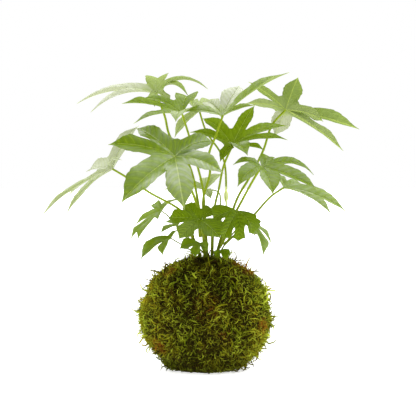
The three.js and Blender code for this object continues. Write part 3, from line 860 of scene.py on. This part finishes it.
class StrandTree(Tree):
    """Geometry nodes that plant strands on a skin."""

    def __init__(self, name, material):
        super().__init__(bpy.data.node_groups.new(name, "GeometryNodeTree"))
        self.material = material
        sockets = self.tree.interface
        self.inputs = {
            label: sockets.new_socket(label, in_out="INPUT", socket_type=f"NodeSocket{kind}").identifier
            for label, kind in STRAND_INPUTS.items()
        }
        sockets.new_socket("Moss", in_out="OUTPUT", socket_type="NodeSocketGeometry")

    def random(self, data_type, low, high, seed):
        """A random value for each strand."""
        first, second, out = {"FLOAT_VECTOR": (0, 1, 0), "FLOAT": (2, 3, 1), "INT": (4, 5, 2)}[data_type]
        inputs = {first: low, second: high, "Seed": seed}
        node = self.node("FunctionNodeRandomValue", {"data_type": data_type}, inputs)
        return self.value(node.outputs[out])

    def marked(self, geometry, domain, name, value):
        """The geometry with a number kept on it under a name."""
        return self.node(
            "GeometryNodeStoreNamedAttribute", {"data_type": "FLOAT", "domain": domain},
            {"Geometry": geometry, "Name": name, "Value": value},
        ).outputs["Geometry"]

    def vector(self, x, y, z):
        return self.node("ShaderNodeCombineXYZ", inputs={"X": x, "Y": y, "Z": z}).outputs["Vector"]

    def strand(self, middle, end, width):
        """One strand one unit long, tapering to its tip."""
        curve = self.node(
            "GeometryNodeCurveQuadraticBezier",
            inputs={"Resolution": STRAND_STEPS, "Start": (0, 0, 0), "Middle": middle, "End": end},
        ).outputs["Curve"]
        reach = self.value(self.node("GeometryNodeSplineParameter").outputs["Factor"])
        section = self.node(
            "GeometryNodeCurvePrimitiveCircle", inputs={"Resolution": STRAND_SIDES, "Radius": 0.5}
        ).outputs["Curve"]
        strand = self.node("GeometryNodeCurveToMesh", inputs={
            "Curve": self.marked(curve, "POINT", "reach", reach), "Profile Curve": section,
            "Scale": (1 - reach * reach * STRAND_TAPER) * width, "Fill Caps": True,
        }).outputs["Mesh"]
        return self.node("GeometryNodeGeometryToInstance", inputs={"Geometry": strand}).outputs["Instances"]

    def build(self):
        given = self.node("NodeGroupInput").outputs
        seed = self.value(given["Seed"])
        planted = self.node(
            "GeometryNodeDistributePointsOnFaces", {"distribute_method": "RANDOM"},
            {"Mesh": given["Skin"], "Density": given["Strands per square metre"], "Seed": given["Seed"]},
        ).outputs
        kinds = self.node("GeometryNodeJoinGeometry")
        for middle, end in STRAND_SHAPES:
            self.tree.links.new(self.strand(middle, end, given["Width share"]), kinds.inputs["Geometry"])
        low = self.vector(-0.4, given["Least lean"], 0.0)
        high = self.vector(0.4, given["Most lean"], 2 * math.pi)
        turn = self.random("FLOAT_VECTOR", low, high, seed + 1)
        turned = self.node("FunctionNodeEulerToRotation", inputs={"Euler": turn}).outputs["Rotation"]
        leaning = self.node(
            "FunctionNodeRotateRotation", {"rotation_space": "LOCAL"},
            {"Rotation": planted["Rotation"], "Rotate By": turned},
        ).outputs["Rotation"]
        clouds = self.node("ShaderNodeTexNoise", inputs={"Scale": 70.0, "Detail": 2.0})
        clumps = self.value(clouds.outputs["Fac"])
        size = self.random("FLOAT", 0.5, 1.2, seed + 2) * given["Length"]
        strands = self.node("GeometryNodeInstanceOnPoints", inputs={
            "Points": planted["Points"], "Instance": kinds.outputs["Geometry"], "Pick Instance": True,
            "Instance Index": self.random("INT", 0, len(STRAND_SHAPES) - 1, seed + 3),
            "Rotation": leaning, "Scale": size * (clumps.fade(0.4, 0.62) * 0.8 + 0.7),
        }).outputs["Instances"]
        tone = self.random("FLOAT", given["Lowest tone"], given["Highest tone"], seed + 4)
        toned = self.marked(strands, "INSTANCE", "tone", tone)
        real = self.node("GeometryNodeRealizeInstances", inputs={"Geometry": toned}).outputs["Geometry"]
        x, y, z = self.parts(self.node("GeometryNodeInputPosition").outputs["Position"])
        above = self.vector(x, y, z.math("MAXIMUM", FLOOR_GAP))
        lifted = self.node("GeometryNodeSetPosition", inputs={"Geometry": real, "Position": above})
        covered = self.node("GeometryNodeSetMaterial", inputs={
            "Geometry": lifted.outputs["Geometry"], "Material": self.material,
        })
        self.node("NodeGroupOutput", inputs={"Moss": covered.outputs["Geometry"]})
        return self


def plant_moss(name, skin, strands, **values):
    """One layer of strands on the skin as a plain mesh piece."""
    modifier = skin.modifiers.new(name, "NODES")
    modifier.node_group = strands.tree
    for label, value in values.items():
        modifier[strands.inputs[label.replace("_", " ")]] = value
    bpy.context.view_layer.update()
    mesh = bpy.data.meshes.new_from_object(skin.evaluated_get(bpy.context.evaluated_depsgraph_get()))
    mesh.name = name
    skin.modifiers.remove(modifier)
    mesh.shade_smooth()
    piece = bpy.data.objects.new(name, mesh)
    bpy.context.scene.collection.objects.link(piece)
    return piece


# Layers of moss: factors on the count and length of the strands, least and most lean off the skin's
# normal in radians, least and most tone, seed, and a factor on the width. The lower layers get darker
# tones, partly the colour of old moss and partly painted shade under the strands above.
MOSS_LAYERS = {
    "moss_strands_deep": dict(share=0.9, length=0.85, lean=(1.15, 1.55), tone=(-0.3, 0.2), seed=11),
    "moss_strands_green": dict(share=1, length=0.95, lean=(1.0, 1.5), tone=(-0.2, 0.5), seed=23),
    "moss_strands_mixed": dict(share=1, length=0.9, lean=(1.0, 1.5), tone=(-0.2, 0.6), seed=31),
    "moss_strands_fresh": dict(share=0.9, length=1.05, lean=(0.7, 1.4), tone=(0.2, 0.9), seed=37),
    "moss_strands_top": dict(share=0.5, length=1.1, lean=(0.6, 1.4), tone=(0.8, 1.9), seed=51, width=1.25),
    "moss_strays": dict(share=0.22, length=2.2, lean=(0.1, 1.25), tone=(-0.1, 0.8), seed=67, width=2.5),
}


class KOKEDAMA_OT_moss(bpy.types.Operator):
    """Wraps the ball in moss: a crumbly skin and layers of strands"""

    bl_idname = "kokedama.moss"
    bl_label = "Moss"

    def execute(self, context):
        settings = context.scene.kokedama_moss
        skin = moss_skin(with_inside=True).build("moss_skin", [moss_skin_finish()])
        settle(skin, "moss", "moss_wrap")
        bed = moss_skin(with_inside=False).build("moss_bed", [])
        strands = StrandTree("moss_strands", moss_strand_finish(settings)).build()
        per_square_metre = settings.strands_per_cm2 * 1e4
        width_share = settings.strand_width / settings.strand_length
        for name, layer in MOSS_LAYERS.items():
            piece = plant_moss(
                name, bed, strands,
                Strands_per_square_metre=per_square_metre * layer["share"],
                Seed=layer["seed"], Length=settings.strand_length * layer["length"],
                Width_share=width_share * layer.get("width", 1) / layer["length"],
                Least_lean=layer["lean"][0], Most_lean=layer["lean"][1],
                Lowest_tone=layer["tone"][0], Highest_tone=layer["tone"][1],
            )
            settle(piece, "moss", "moss_wrap")
        bpy.data.objects.remove(bed)
        return {"FINISHED"}


def soil_finish():
    finish = Finish("soil")
    grain = finish.noise(900, 4, 0.7)
    clods = finish.noise(160, 3, 0.6)
    base = finish.mix(grain.fade(0.35, 0.7), colour(26, 18, 8), colour(72, 54, 30))
    base = finish.mix(clods.fade(0.5, 0.75) * 0.5, base, colour(40, 42, 12))
    return finish.surface(Base_Color=base, Roughness=0.95, Normal=finish.bump(grain, 0.001, 0.9))


class KOKEDAMA_OT_soil(bpy.types.Operator):
    """Makes the soil ball inside the moss"""

    bl_idname = "kokedama.soil"
    bl_label = "Soil"

    def execute(self, context):
        form = Form()
        levels = [math.pi * (k / SOIL_RINGS - 0.5) for k in range(1, SOIL_RINGS)]
        rings = [
            form.ring(ball_ring(SOIL_RADIUS, SOIL_HALF_HEIGHT, CAVITY_CENTRE_Z, level, soil_relief))
            for level in levels
        ]
        form.cap(rings[0], (0, 0, CAVITY_CENTRE_Z - SOIL_HALF_HEIGHT + 1), flip=True)
        form.bands(rings)
        form.cap(rings[-1], (MOUTH_SHIFT, 0, CAVITY_CENTRE_Z + SOIL_HALF_HEIGHT - 1))
        settle(form.build("soil", [soil_finish()]), "soil", "soil_ball")
        return {"FINISHED"}


def stem_point(stem, height):
    """The centre of a stem at a height, and the way it runs there."""
    path = smooth_path(STEMS[stem], STEM_STEPS)
    k = next((i for i in range(len(path) - 1) if path[i + 1].z >= height), len(path) - 2)
    share = (height - path[k].z) / (path[k + 1].z - path[k].z)
    return path[k].lerp(path[k + 1], share), (path[k + 1] - path[k]).normalized()


def petiole_foot(stem, height, radius, towards):
    """Where a petiole leaves a stem, just clear of its side."""
    centre, heading = stem_point(stem, height)
    way = (towards - centre).normalized()
    outward = (way - heading * way.dot(heading)).normalized()
    reach = radius * math.sqrt(max(1 - way.dot(outward) ** 2, 0))
    return centre + outward * (STEM_RADIUS + GAP + reach)


def petiole_radius(radius, share):
    """The radius at a share of a petiole's way, swollen at the foot and thinner towards the blade."""
    swelling = FOOT_SWELLING * (1 - blend_step(0, FOOT_LENGTH, share))
    return radius * (PETIOLE_WAIST + swelling - PETIOLE_TAPER * share)


def stalk_finish(name, settings):
    """Smooth olive green skin, darker and browner low down, with fine lengthwise streaks."""
    finish = Finish(name)
    height = finish.parts(finish.place())[2]
    streaks = finish.noise(700, 3, 0.6, stretch=(1, 1, 0.08))
    clouds = finish.noise(60, 2, 0.5)
    body = finish.mix(streaks.fade(0.3, 0.75) * 0.5, settings.olive, colour(106, 126, 16))
    old = (1 - (height + clouds * 0.03).fade(0.13, 0.2)) * 0.7
    body = finish.mix(old, body, settings.brown)
    return finish.surface(
        Base_Color=body, Roughness=0.5, Specular_IOR_Level=0.05,
        Normal=finish.bump(streaks, 0.0003, 0.5),
    )


def scarred_radius(height):
    """A stem's radius at a height, wider at the rings of leaf scar."""
    away = (height + 2) % SCAR_SPACING - SCAR_SPACING / 2
    return STEM_RADIUS * (STEM_WAIST + SCAR_HEIGHT * math.exp(-(away / SCAR_WIDTH) ** 2))


class KOKEDAMA_OT_stems(bpy.types.Operator):
    """Makes the stems with their leaf scars and blunt ends"""

    bl_idname = "kokedama.stems"
    bl_label = "Stems"

    def execute(self, context):
        finish = stalk_finish("stem", context.scene.kokedama_stems)
        for name, points in STEMS.items():
            path = smooth_path(points, STEM_STEPS)
            radii = [scarred_radius(centre.z) for centre in path]
            end, heading = path[-1], (path[-1] - path[-2]).normalized()
            for step, radius in STEM_TIP:
                path.append(end + heading * step)
                radii.append(radius)
            form = Form()
            form.tube(path, radii, STEM_SIDES)
            settle(form.build(f"stem_fine_{name}", [finish]), "stem", f"stem_{name}")
        return {"FINISHED"}


class Lobe:
    """One lobe of a blade: an arched rib from the hub to the tip, with two halves folded up."""

    def __init__(self, hub, entry, facing, fold):
        x, y, z, rise = entry[:4]
        self.wide = entry[4] if len(entry) > 4 else 1
        roll = math.radians(entry[5]) if len(entry) > 5 else 0
        self.hub = hub
        self.tip = Vector((x, y, z))
        chord = self.tip - hub
        self.length = chord.length
        self.heading = chord.normalized()
        lift = (facing - self.heading * facing.dot(self.heading)).normalized()
        self.bend = hub + chord * 0.5 + lift * (2 * rise * self.length)
        self.side = lift.cross(self.heading)
        self.side.rotate(Quaternion(self.heading, roll))
        self.fold = fold

    def rib(self, along):
        back = 1 - along
        return self.hub * back * back + self.bend * (2 * along * back) + self.tip * along * along

    def on(self, along, across, crown=0):
        """A point along the rib and across it; crown bows each half up between rib and margin."""
        tangent = ((self.bend - self.hub) * (1 - along) + (self.tip - self.bend) * along).normalized()
        normal = tangent.cross(self.side)
        rise = abs(across) * math.sin(self.fold) + crown
        return self.rib(along) + self.side * across * math.cos(self.fold) + normal * rise


class Sheet:
    """The middle surface of a blade."""

    def __init__(self):
        self.points = []
        self.half_thickness = []
        self.ridge = []
        self.marks = []
        self.faces = []
        self.corners = []

    def add(self, place, half_thickness, marks, ridge=0):
        self.points.append(place)
        self.half_thickness.append(half_thickness)
        self.marks.append(marks)
        self.ridge.append(ridge)
        return len(self.points) - 1

    def normals(self):
        """The way the sheet faces at each point, by the areas round it."""
        sums = [Vector() for _ in self.points]
        for face in self.faces:
            a, b, c = (self.points[i] for i in (face[0], face[1], face[-1]))
            area = (b - a).cross(c - a)
            for i in face:
                sums[i] += area
        return [total.normalized() for total in sums]

    def thicken(self, form):
        """Adds the sheet to a form as a closed blade, with its ribs standing out below."""
        normals = self.normals()
        count = len(self.points)
        first = len(form.points)
        for i, place in enumerate(self.points):
            form.point(place + normals[i] * self.half_thickness[i], under=0, **self.marks[i])
        for i, place in enumerate(self.points):
            depth = self.half_thickness[i] + self.ridge[i]
            form.point(place - normals[i] * depth, under=1, **self.marks[i])
        edges = {}
        for face, corners in zip(self.faces, self.corners):
            form.face([first + i for i in face], corners)
            form.face([first + count + i for i in reversed(face)], list(reversed(corners)))
            for k in range(len(face)):
                m = (k + 1) % len(face)
                edges[face[k], face[m]] = corners[k], corners[m]
        for (start, end), (here, there) in edges.items():
            if (end, start) not in edges:
                ring = [end, start, count + start, count + end]
                form.face([first + i for i in ring], [there, here, here, there])


def half_angle(lobe, neighbour):
    """Half the angle to the next lobe, or the open side by the petiole's notch."""
    return lobe.heading.angle(neighbour.heading) / 2 if neighbour else OUTER_HALF_ANGLE


def sinus_place(leaf, lobe, neighbour):
    """Where the notch between two lobes ends, along and across the first of them."""
    half = half_angle(lobe, neighbour)
    shorter = min(lobe.length, neighbour.length) if neighbour else lobe.length
    reach = leaf.get("sinus", SINUS_SHARE) * shorter
    return reach * math.cos(half) / lobe.length, reach * math.sin(half)


def tooth_share(leaf, out):
    """How far the margin stands out at a place past the sinus: coarse teeth or a faint saw edge."""
    count, depth = COARSE_TEETH if leaf.get("teeth") else FAINT_TEETH
    saw = (out * count + 0.35) % 1
    return 1 - depth * blend_step(0.55, 1, saw) - 0.3 * depth * (1 - blend_step(0, 0.35, saw))


def lobe_marks(leaf, i, along):
    """Quilt, tone and gloss at a place of lobe i, from the leaf's mean at the hub to the lobe's own."""
    marks = {"quilt": leaf.get("quilt", QUILT)}
    for name in ("tone", "gloss"):
        given = leaf[name]
        if isinstance(given, tuple):
            middle = sum(given) / len(given)
            given = middle + (given[i] - middle) * blend_step(0, 0.45, along)
        marks[name] = given
    return marks


def blade_sheet(leaf, hub, settings):
    """The lobes of a leaf as one sheet, joined inside their sinuses."""
    lean, tilt = math.radians(leaf["lean"]), math.radians(leaf["tilt"])
    facing = Vector((math.sin(tilt) * math.cos(lean), math.sin(tilt) * math.sin(lean), math.cos(tilt)))
    folds = leaf.get("folds", [1] * len(leaf["lobes"]))
    lobes = [Lobe(hub, entry, facing, settings.fold * share) for entry, share in zip(leaf["lobes"], folds)]
    half_rib = settings.thickness / MM / 2
    sheet = Sheet()
    middle = sheet.add(hub.copy(), half_rib, lobe_marks(leaf, 0, 0), HUB_RIDGE)
    count = len(lobes)
    draw = random.Random(sum(map(ord, leaf["stem"])) + count)

    def seam_point(i, share):
        """A point of the line from the hub to the notch before lobe i."""
        sides, marks = [], []
        if i < count:
            along, across = sinus_place(leaf, lobes[i], lobes[i - 1] if i else None)
            sides.append(lobes[i].on(along * share, -across * share))
            marks.append(lobe_marks(leaf, i, along * share))
        if i:
            along, across = sinus_place(leaf, lobes[i - 1], lobes[i] if i < count else None)
            sides.append(lobes[i - 1].on(along * share, across * share))
            marks.append(lobe_marks(leaf, i - 1, along * share))
        between = {name: sum(mark[name] for mark in marks) / len(marks) for name in marks[0]}
        return sheet.add(sum(sides, Vector()) / len(sides), half_rib * SEAM_THICKNESS, between)

    seams = [
        [middle, *(seam_point(i, k / ROWS_IN) for k in range(1, ROWS_IN + 1))] for i in range(count + 1)
    ]
    rows = ROWS_IN + ROWS_OUT
    rib_share = RIB_LAG * leaf.get("sinus", SINUS_SHARE)
    for i, lobe in enumerate(lobes):
        alongs = [rib_share * k / ROWS_IN for k in range(ROWS_IN)]
        alongs += [rib_share + (1 - rib_share) * k / ROWS_OUT for k in range(ROWS_OUT + 1)]
        rib = [middle]
        for along in alongs[1:rows]:
            marks = lobe_marks(leaf, i, along)
            rib.append(sheet.add(lobe.rib(along), half_rib * RIB_THICKNESS, marks, RIB_RIDGE * (1 - along)))
        rib.append(sheet.add(lobe.rib(1), half_rib * TIP_THICKNESS, lobe_marks(leaf, i, 1)))
        for sign in (-1, 1):
            seam = seams[i + 1 if sign > 0 else i]
            neighbour = lobes[i + sign] if 0 <= i + sign < count else None
            half = min(half_angle(lobe, neighbour), WIDEST_HALF_ANGLE)
            sinus_along, sinus_across = sinus_place(leaf, lobe, neighbour)
            wave_phase = draw.uniform(0, 2 * math.pi)
            waves = draw.uniform(*WAVES)
            shared = sheet.points[seam[ROWS_IN]] - lobe.on(sinus_along, sign * sinus_across)
            grid = [[middle] * len(COLUMNS)]
            spans = [(0, 0)]
            for k in range(1, rows):
                along = alongs[k]
                if k <= ROWS_IN:
                    share = k / ROWS_IN
                    edge_along, edge_across = sinus_along * share, sinus_across * share
                    mend = sheet.points[seam[k]] - lobe.on(edge_along, sign * edge_across)
                else:
                    # Past the sinus the edge leaves the seam and runs over into the lobe's own margin.
                    out = (k - ROWS_IN) / ROWS_OUT
                    edge_along = sinus_along + (along - sinus_along) * blend_step(0, 0.3, out)
                    widest = lobe.length * leaf["width"] * lobe.wide
                    free = min(
                        widest * profile_at(MARGIN, out) * tooth_share(leaf, out),
                        NEIGHBOUR_SHARE * along * lobe.length * math.tan(half),
                    )
                    edge_across = sinus_across + (free - sinus_across) * blend_step(-0.06, 0.2, out)
                    mend = shared * (1 - blend_step(0, 0.25, out))
                row = [rib[k]]
                for share in COLUMNS[1:]:
                    if share == 1 and k <= ROWS_IN:
                        row.append(seam[k])
                        continue
                    here = along + (edge_along - along) * share
                    crown = CROWN * edge_across * math.sin(math.pi * share)
                    wave = WAVE_HEIGHT * lobe.length * math.sin(waves * math.pi * along + wave_phase)
                    crown += wave * share**2 * blend_step(rib_share, rib_share + 0.25, along) * (1 - along)
                    place = lobe.on(here, sign * edge_across * share, crown) + mend * share**2
                    thin = half_rib * (1 - MARGIN_THINNING * share**2)
                    row.append(sheet.add(place, thin, lobe_marks(leaf, i, along)))
                grid.append(row)
                spans.append((edge_along - along, edge_across / lobe.length))
            grid.append([rib[-1]] * len(COLUMNS))
            spans.append((0, 0))

            def map_at(k, c):
                share = COLUMNS[c]
                lead, across = spans[k]
                return 0.5 + sign * across * share, alongs[k] + lead * share

            for k in range(rows):
                for c in range(len(COLUMNS) - 1):
                    places = [(k, c), (k + 1, c), (k + 1, c + 1), (k, c + 1)]
                    if k == 0:
                        places = places[:3]
                    if k == rows - 1:
                        places = [places[0], places[1], places[3]]
                    if sign < 0:
                        places.reverse()
                    sheet.faces.append([grid[row][column] for row, column in places])
                    sheet.corners.append([map_at(row, column) for row, column in places])
    return sheet


def blade_finish(settings):
    """A leaf blade: ribs, side veins with the blade quilted and painted darker between them, a pale under
    side that is also painted on the palest tops as a sheen.
    """
    finish = Finish("leaf_blade")
    u, along = finish.map("map")
    across = (u - 0.5).math("ABSOLUTE")
    tone = finish.mark("tone")
    under = finish.mark("under")
    clouds = finish.noise(45, 3, 0.6)
    net = finish.noise(420, 3, 0.6)
    blisters = finish.noise(200, 2, 0.5)
    rib = 1 - across.fade(0.003, 0.012)
    wander = (finish.noise(70, 2) - 0.5) * 0.02
    lead = across * 0.45 + across * across * 3
    step = ((along - lead + wander) * 8.5).math("PINGPONG", 0.5)
    vein = (1 - step.fade(0.02, 0.12)) * blisters.fade(0.35, 0.6) * 0.6
    quilt = finish.mark("quilt")
    plain = 1 - under * 0.7
    body = finish.layered([
        (1, settings.dark),
        (clouds.fade(0.3, 0.75), settings.green),
        (tone * 0.5 + clouds * 0.5, settings.green),
        (tone.fade(0.4, 1.0), settings.pale),
        # The greyish under side colour is also laid on the tops of the palest lobes as a painted whitish
        # sheen.
        (tone.fade(0.75, 1.0) * 0.85 + under * (tone * 0.6 + 0.2), settings.under),
        (net.fade(0.45, 0.65) * plain * 0.08, settings.dark),
        # Painted shade: the blade darkens between the side veins, where its quilted bulges would shade it.
        (step.fade(0.08, 0.4) * plain * quilt * 0.35, settings.dark),
        (vein * plain * 0.18, settings.vein),
        (rib * 0.7, settings.vein),
    ])
    relief = finish.bump((step.fade(0, 0.5) + blisters * 0.5) * plain * quilt - rib * 0.5, 0.0014, 0.6)
    sheen = finish.noise(26, 2, 0.5).fade(0.35, 0.65) * 0.5 + step.fade(0.1, 0.45) * 0.4 + 0.45
    mottle = blisters.fade(0.3, 0.65) * 0.25 + 0.8
    wax = finish.mark("gloss") * (1 - under) * mottle * sheen
    glow = finish.glow([(1, settings.lit), (tone.fade(0.4, 0.9), settings.under)])
    return finish.surface(
        light_through=(glow, 0.13 + tone * 0.1),
        Base_Color=body, Roughness=0.5 + clouds * 0.1, Normal=relief, Specular_IOR_Level=0.0,
        Coat_Weight=wax, Coat_Roughness=0.3, Coat_IOR=2.1,
    )


class KOKEDAMA_OT_leaves(bpy.types.Operator):
    """Makes every leaf: its blade and its petiole as one piece"""

    bl_idname = "kokedama.leaves"
    bl_label = "Leaves"

    def execute(self, context):
        settings = context.scene.kokedama_leaves
        finishes = [blade_finish(settings), stalk_finish("petiole", context.scene.kokedama_stems)]
        for name, leaf in LEAVES.items():
            form = Form()
            hub = Vector(leaf["hub"])
            blade_sheet(leaf, hub, settings).thicken(form)
            foot = petiole_foot(leaf["stem"], leaf["height"], leaf["petiole"], Vector(leaf["via"][0]))
            path = smooth_path([foot, *leaf["via"], hub], PETIOLE_STEPS)
            radii = [petiole_radius(leaf["petiole"], k / (len(path) - 1)) for k in range(len(path))]
            form.tube(path, radii, PETIOLE_SIDES, slot=1)
            piece = form.build(name.replace("leaf_", "leaf_fine_"), finishes, crease=math.radians(50))
            settle(piece, "leaf", name)
        return {"FINISHED"}


def shoot_finish():
    finish = Finish("young_shoot")
    clouds = finish.noise(260, 3, 0.6)
    body = finish.mix(clouds.fade(0.3, 0.7), colour(196, 206, 128), colour(224, 228, 168))
    return finish.surface(
        Base_Color=body, Roughness=0.5, Subsurface_Weight=0.4, Subsurface_Scale=0.002,
        Subsurface_Radius=(1.0, 1.0, 0.4), Normal=finish.bump(clouds, 0.0005, 0.5),
    )


class KOKEDAMA_OT_shoot(bpy.types.Operator):
    """Makes the young shoot, a leaf still folded on its stalk"""

    bl_idname = "kokedama.shoot"
    bl_label = "Young shoot"

    def execute(self, context):
        form = Form()
        path = smooth_path(SHOOT_PATH, PETIOLE_STEPS)
        form.tube(path, [SHOOT_RADIUS] * len(path), PETIOLE_SIDES)
        foot = Vector(SHOOT_PATH[-1]) - Vector((0, 0, 1))
        top, least_radius = SHOOT_BUD[-1]
        rings = []
        for k in range(BUD_RINGS + 1):
            height = top * k / BUD_RINGS
            radius = max(profile_at(SHOOT_BUD, height), least_radius)
            ring = []
            for angle in circle(BUD_SIDES):
                pleat = 1 + PLEAT_DEPTH * math.cos(PLEATS * angle + PLEAT_TURN * height)
                out = Vector((math.cos(angle), math.sin(angle), 0)) * radius * pleat
                ring.append(foot + out + Vector((0, 0, height)))
            rings.append(form.ring(ring))
        form.cap(rings[0], foot, flip=True)
        form.bands(rings)
        form.cap(rings[-1], foot + Vector((0, 0, top + 0.2)))
        settle(form.build("shoot_fine", [shoot_finish()]), "shoot", "young_shoot")
        return {"FINISHED"}


# The round floor, and how far the camera sees, in metres.
FLOOR_RADIUS = 30
FLOOR_SIDES = 64
CAMERA_REACH = 200

# Width of the camera's sensor in millimetres.
SENSOR_WIDTH = 36

# Light from all round: a dim front, a brighter back and top, bright sides, and a softbox above.
FRONT_GLOW = 0.05
BACK_GLOW = 0.55
TOP_GLOW = 0.4
SIDE_GLOW = 3.0
SOFTBOX_GLOW = 1.8
SOFTBOX_LEAN = math.radians(20)
SOFTBOX_SIDE = 0.2
SOFTBOX_INNER = math.radians(40)
SOFTBOX_OUTER = math.radians(54)


class KOKEDAMA_OT_stage(bpy.types.Operator):
    """Sets the camera, the pale floor and the soft light all round"""

    bl_idname = "kokedama.stage"
    bl_label = "Stage"

    def execute(self, context):
        scene = context.scene
        settings = scene.kokedama_stage
        target = Vector(settings.target)
        back = Vector((0, -math.cos(settings.pitch), math.sin(settings.pitch)))
        camera = bpy.data.cameras.new("camera")
        camera.lens = settings.focal
        camera.sensor_width = SENSOR_WIDTH
        camera.clip_end = CAMERA_REACH
        holder = bpy.data.objects.new("camera", camera)
        holder.location = target + back * settings.distance
        holder.rotation_euler = Euler((math.pi / 2 - settings.pitch, 0, 0))
        scene.collection.objects.link(holder)
        scene.camera = holder

        form = Form()
        wide = FLOOR_RADIUS / MM
        rim = form.ring((wide * math.cos(a), wide * math.sin(a), 0) for a in circle(FLOOR_SIDES))
        form.cap(rim, (0, 0, 0))
        finish = Finish("floor")
        tint = finish.mix(finish.noise(3, 2), (0.86, 0.86, 0.86, 1), (0.88, 0.88, 0.88, 1))
        floor = form.build("floor", [finish.surface(
            Base_Color=tint, Roughness=0.9, Specular_IOR_Level=0.1,
            Emission_Color=(1, 1, 1, 1), Emission_Strength=0.75,
        )])

        world = bpy.data.worlds.new("surround")
        world.use_nodes = True
        sky = Tree(world.node_tree)
        seen = sky.value(sky.node("ShaderNodeLightPath").outputs["Is Camera Ray"])
        way = sky.node("ShaderNodeTexCoord").outputs["Generated"]
        x, y, z = sky.parts(way)
        glow = z.fade(0.1, 0.8) * TOP_GLOW + FRONT_GLOW
        glow = y.fade(-0.4, 0.8) * BACK_GLOW + glow
        glow = x.math("ABSOLUTE").fade(0.5, 0.95) * (1 - z.fade(0.2, 0.7)) * SIDE_GLOW + glow
        axis = Vector((SOFTBOX_SIDE, math.sin(SOFTBOX_LEAN), math.cos(SOFTBOX_LEAN))).normalized()
        towards = sky.node("ShaderNodeVectorMath", {"operation": "DOT_PRODUCT"}, {0: way, 1: axis})
        near_axis = sky.value(towards.outputs["Value"])
        softbox = near_axis.fade(math.cos(SOFTBOX_OUTER), math.cos(SOFTBOX_INNER))
        glow = softbox * SOFTBOX_GLOW + glow
        strength = seen + (1 - seen) * glow
        shown = sky.node("ShaderNodeBackground", inputs={"Color": (1, 1, 1, 1), "Strength": strength})
        sky.node("ShaderNodeOutputWorld", inputs={"Surface": shown.outputs["Background"]})
        scene.world = world
        scene.view_settings.view_transform = "Standard"
        return {"FINISHED"}


class KOKEDAMA_PT_panel(bpy.types.Panel):
    bl_label = "Kokedama"
    bl_idname = "KOKEDAMA_PT_panel"
    bl_space_type = "VIEW_3D"
    bl_region_type = "UI"
    bl_category = "Kokedama"

    def draw(self, context):
        for operator in OPERATORS:
            self.layout.operator(operator.bl_idname)
        for name in SETTINGS:
            box = self.layout.box()
            group = getattr(context.scene, name)
            for key in group.bl_rna.properties.keys():
                if key not in ("rna_type", "name"):
                    box.prop(group, key)


SETTINGS = {
    "kokedama_moss": MossSettings,
    "kokedama_leaves": LeafSettings,
    "kokedama_stems": StemSettings,
    "kokedama_stage": StageSettings,
}
OPERATORS = (
    KOKEDAMA_OT_stage,
    KOKEDAMA_OT_soil,
    KOKEDAMA_OT_moss,
    KOKEDAMA_OT_stems,
    KOKEDAMA_OT_leaves,
    KOKEDAMA_OT_shoot,
)
CLASSES = (*SETTINGS.values(), *OPERATORS, KOKEDAMA_PT_panel)


def register():
    for kind in CLASSES:
        bpy.utils.register_class(kind)
    for name, group in SETTINGS.items():
        setattr(bpy.types.Scene, name, bpy.props.PointerProperty(type=group))


def unregister():
    for name in SETTINGS:
        delattr(bpy.types.Scene, name)
    for kind in reversed(CLASSES):
        bpy.utils.unregister_class(kind)


def main():
    register()
    bpy.ops.kokedama.stage()
    bpy.ops.kokedama.soil()
    bpy.ops.kokedama.moss()
    bpy.ops.kokedama.stems()
    bpy.ops.kokedama.leaves()
    bpy.ops.kokedama.shoot()


if __name__ == "__main__":
    main()
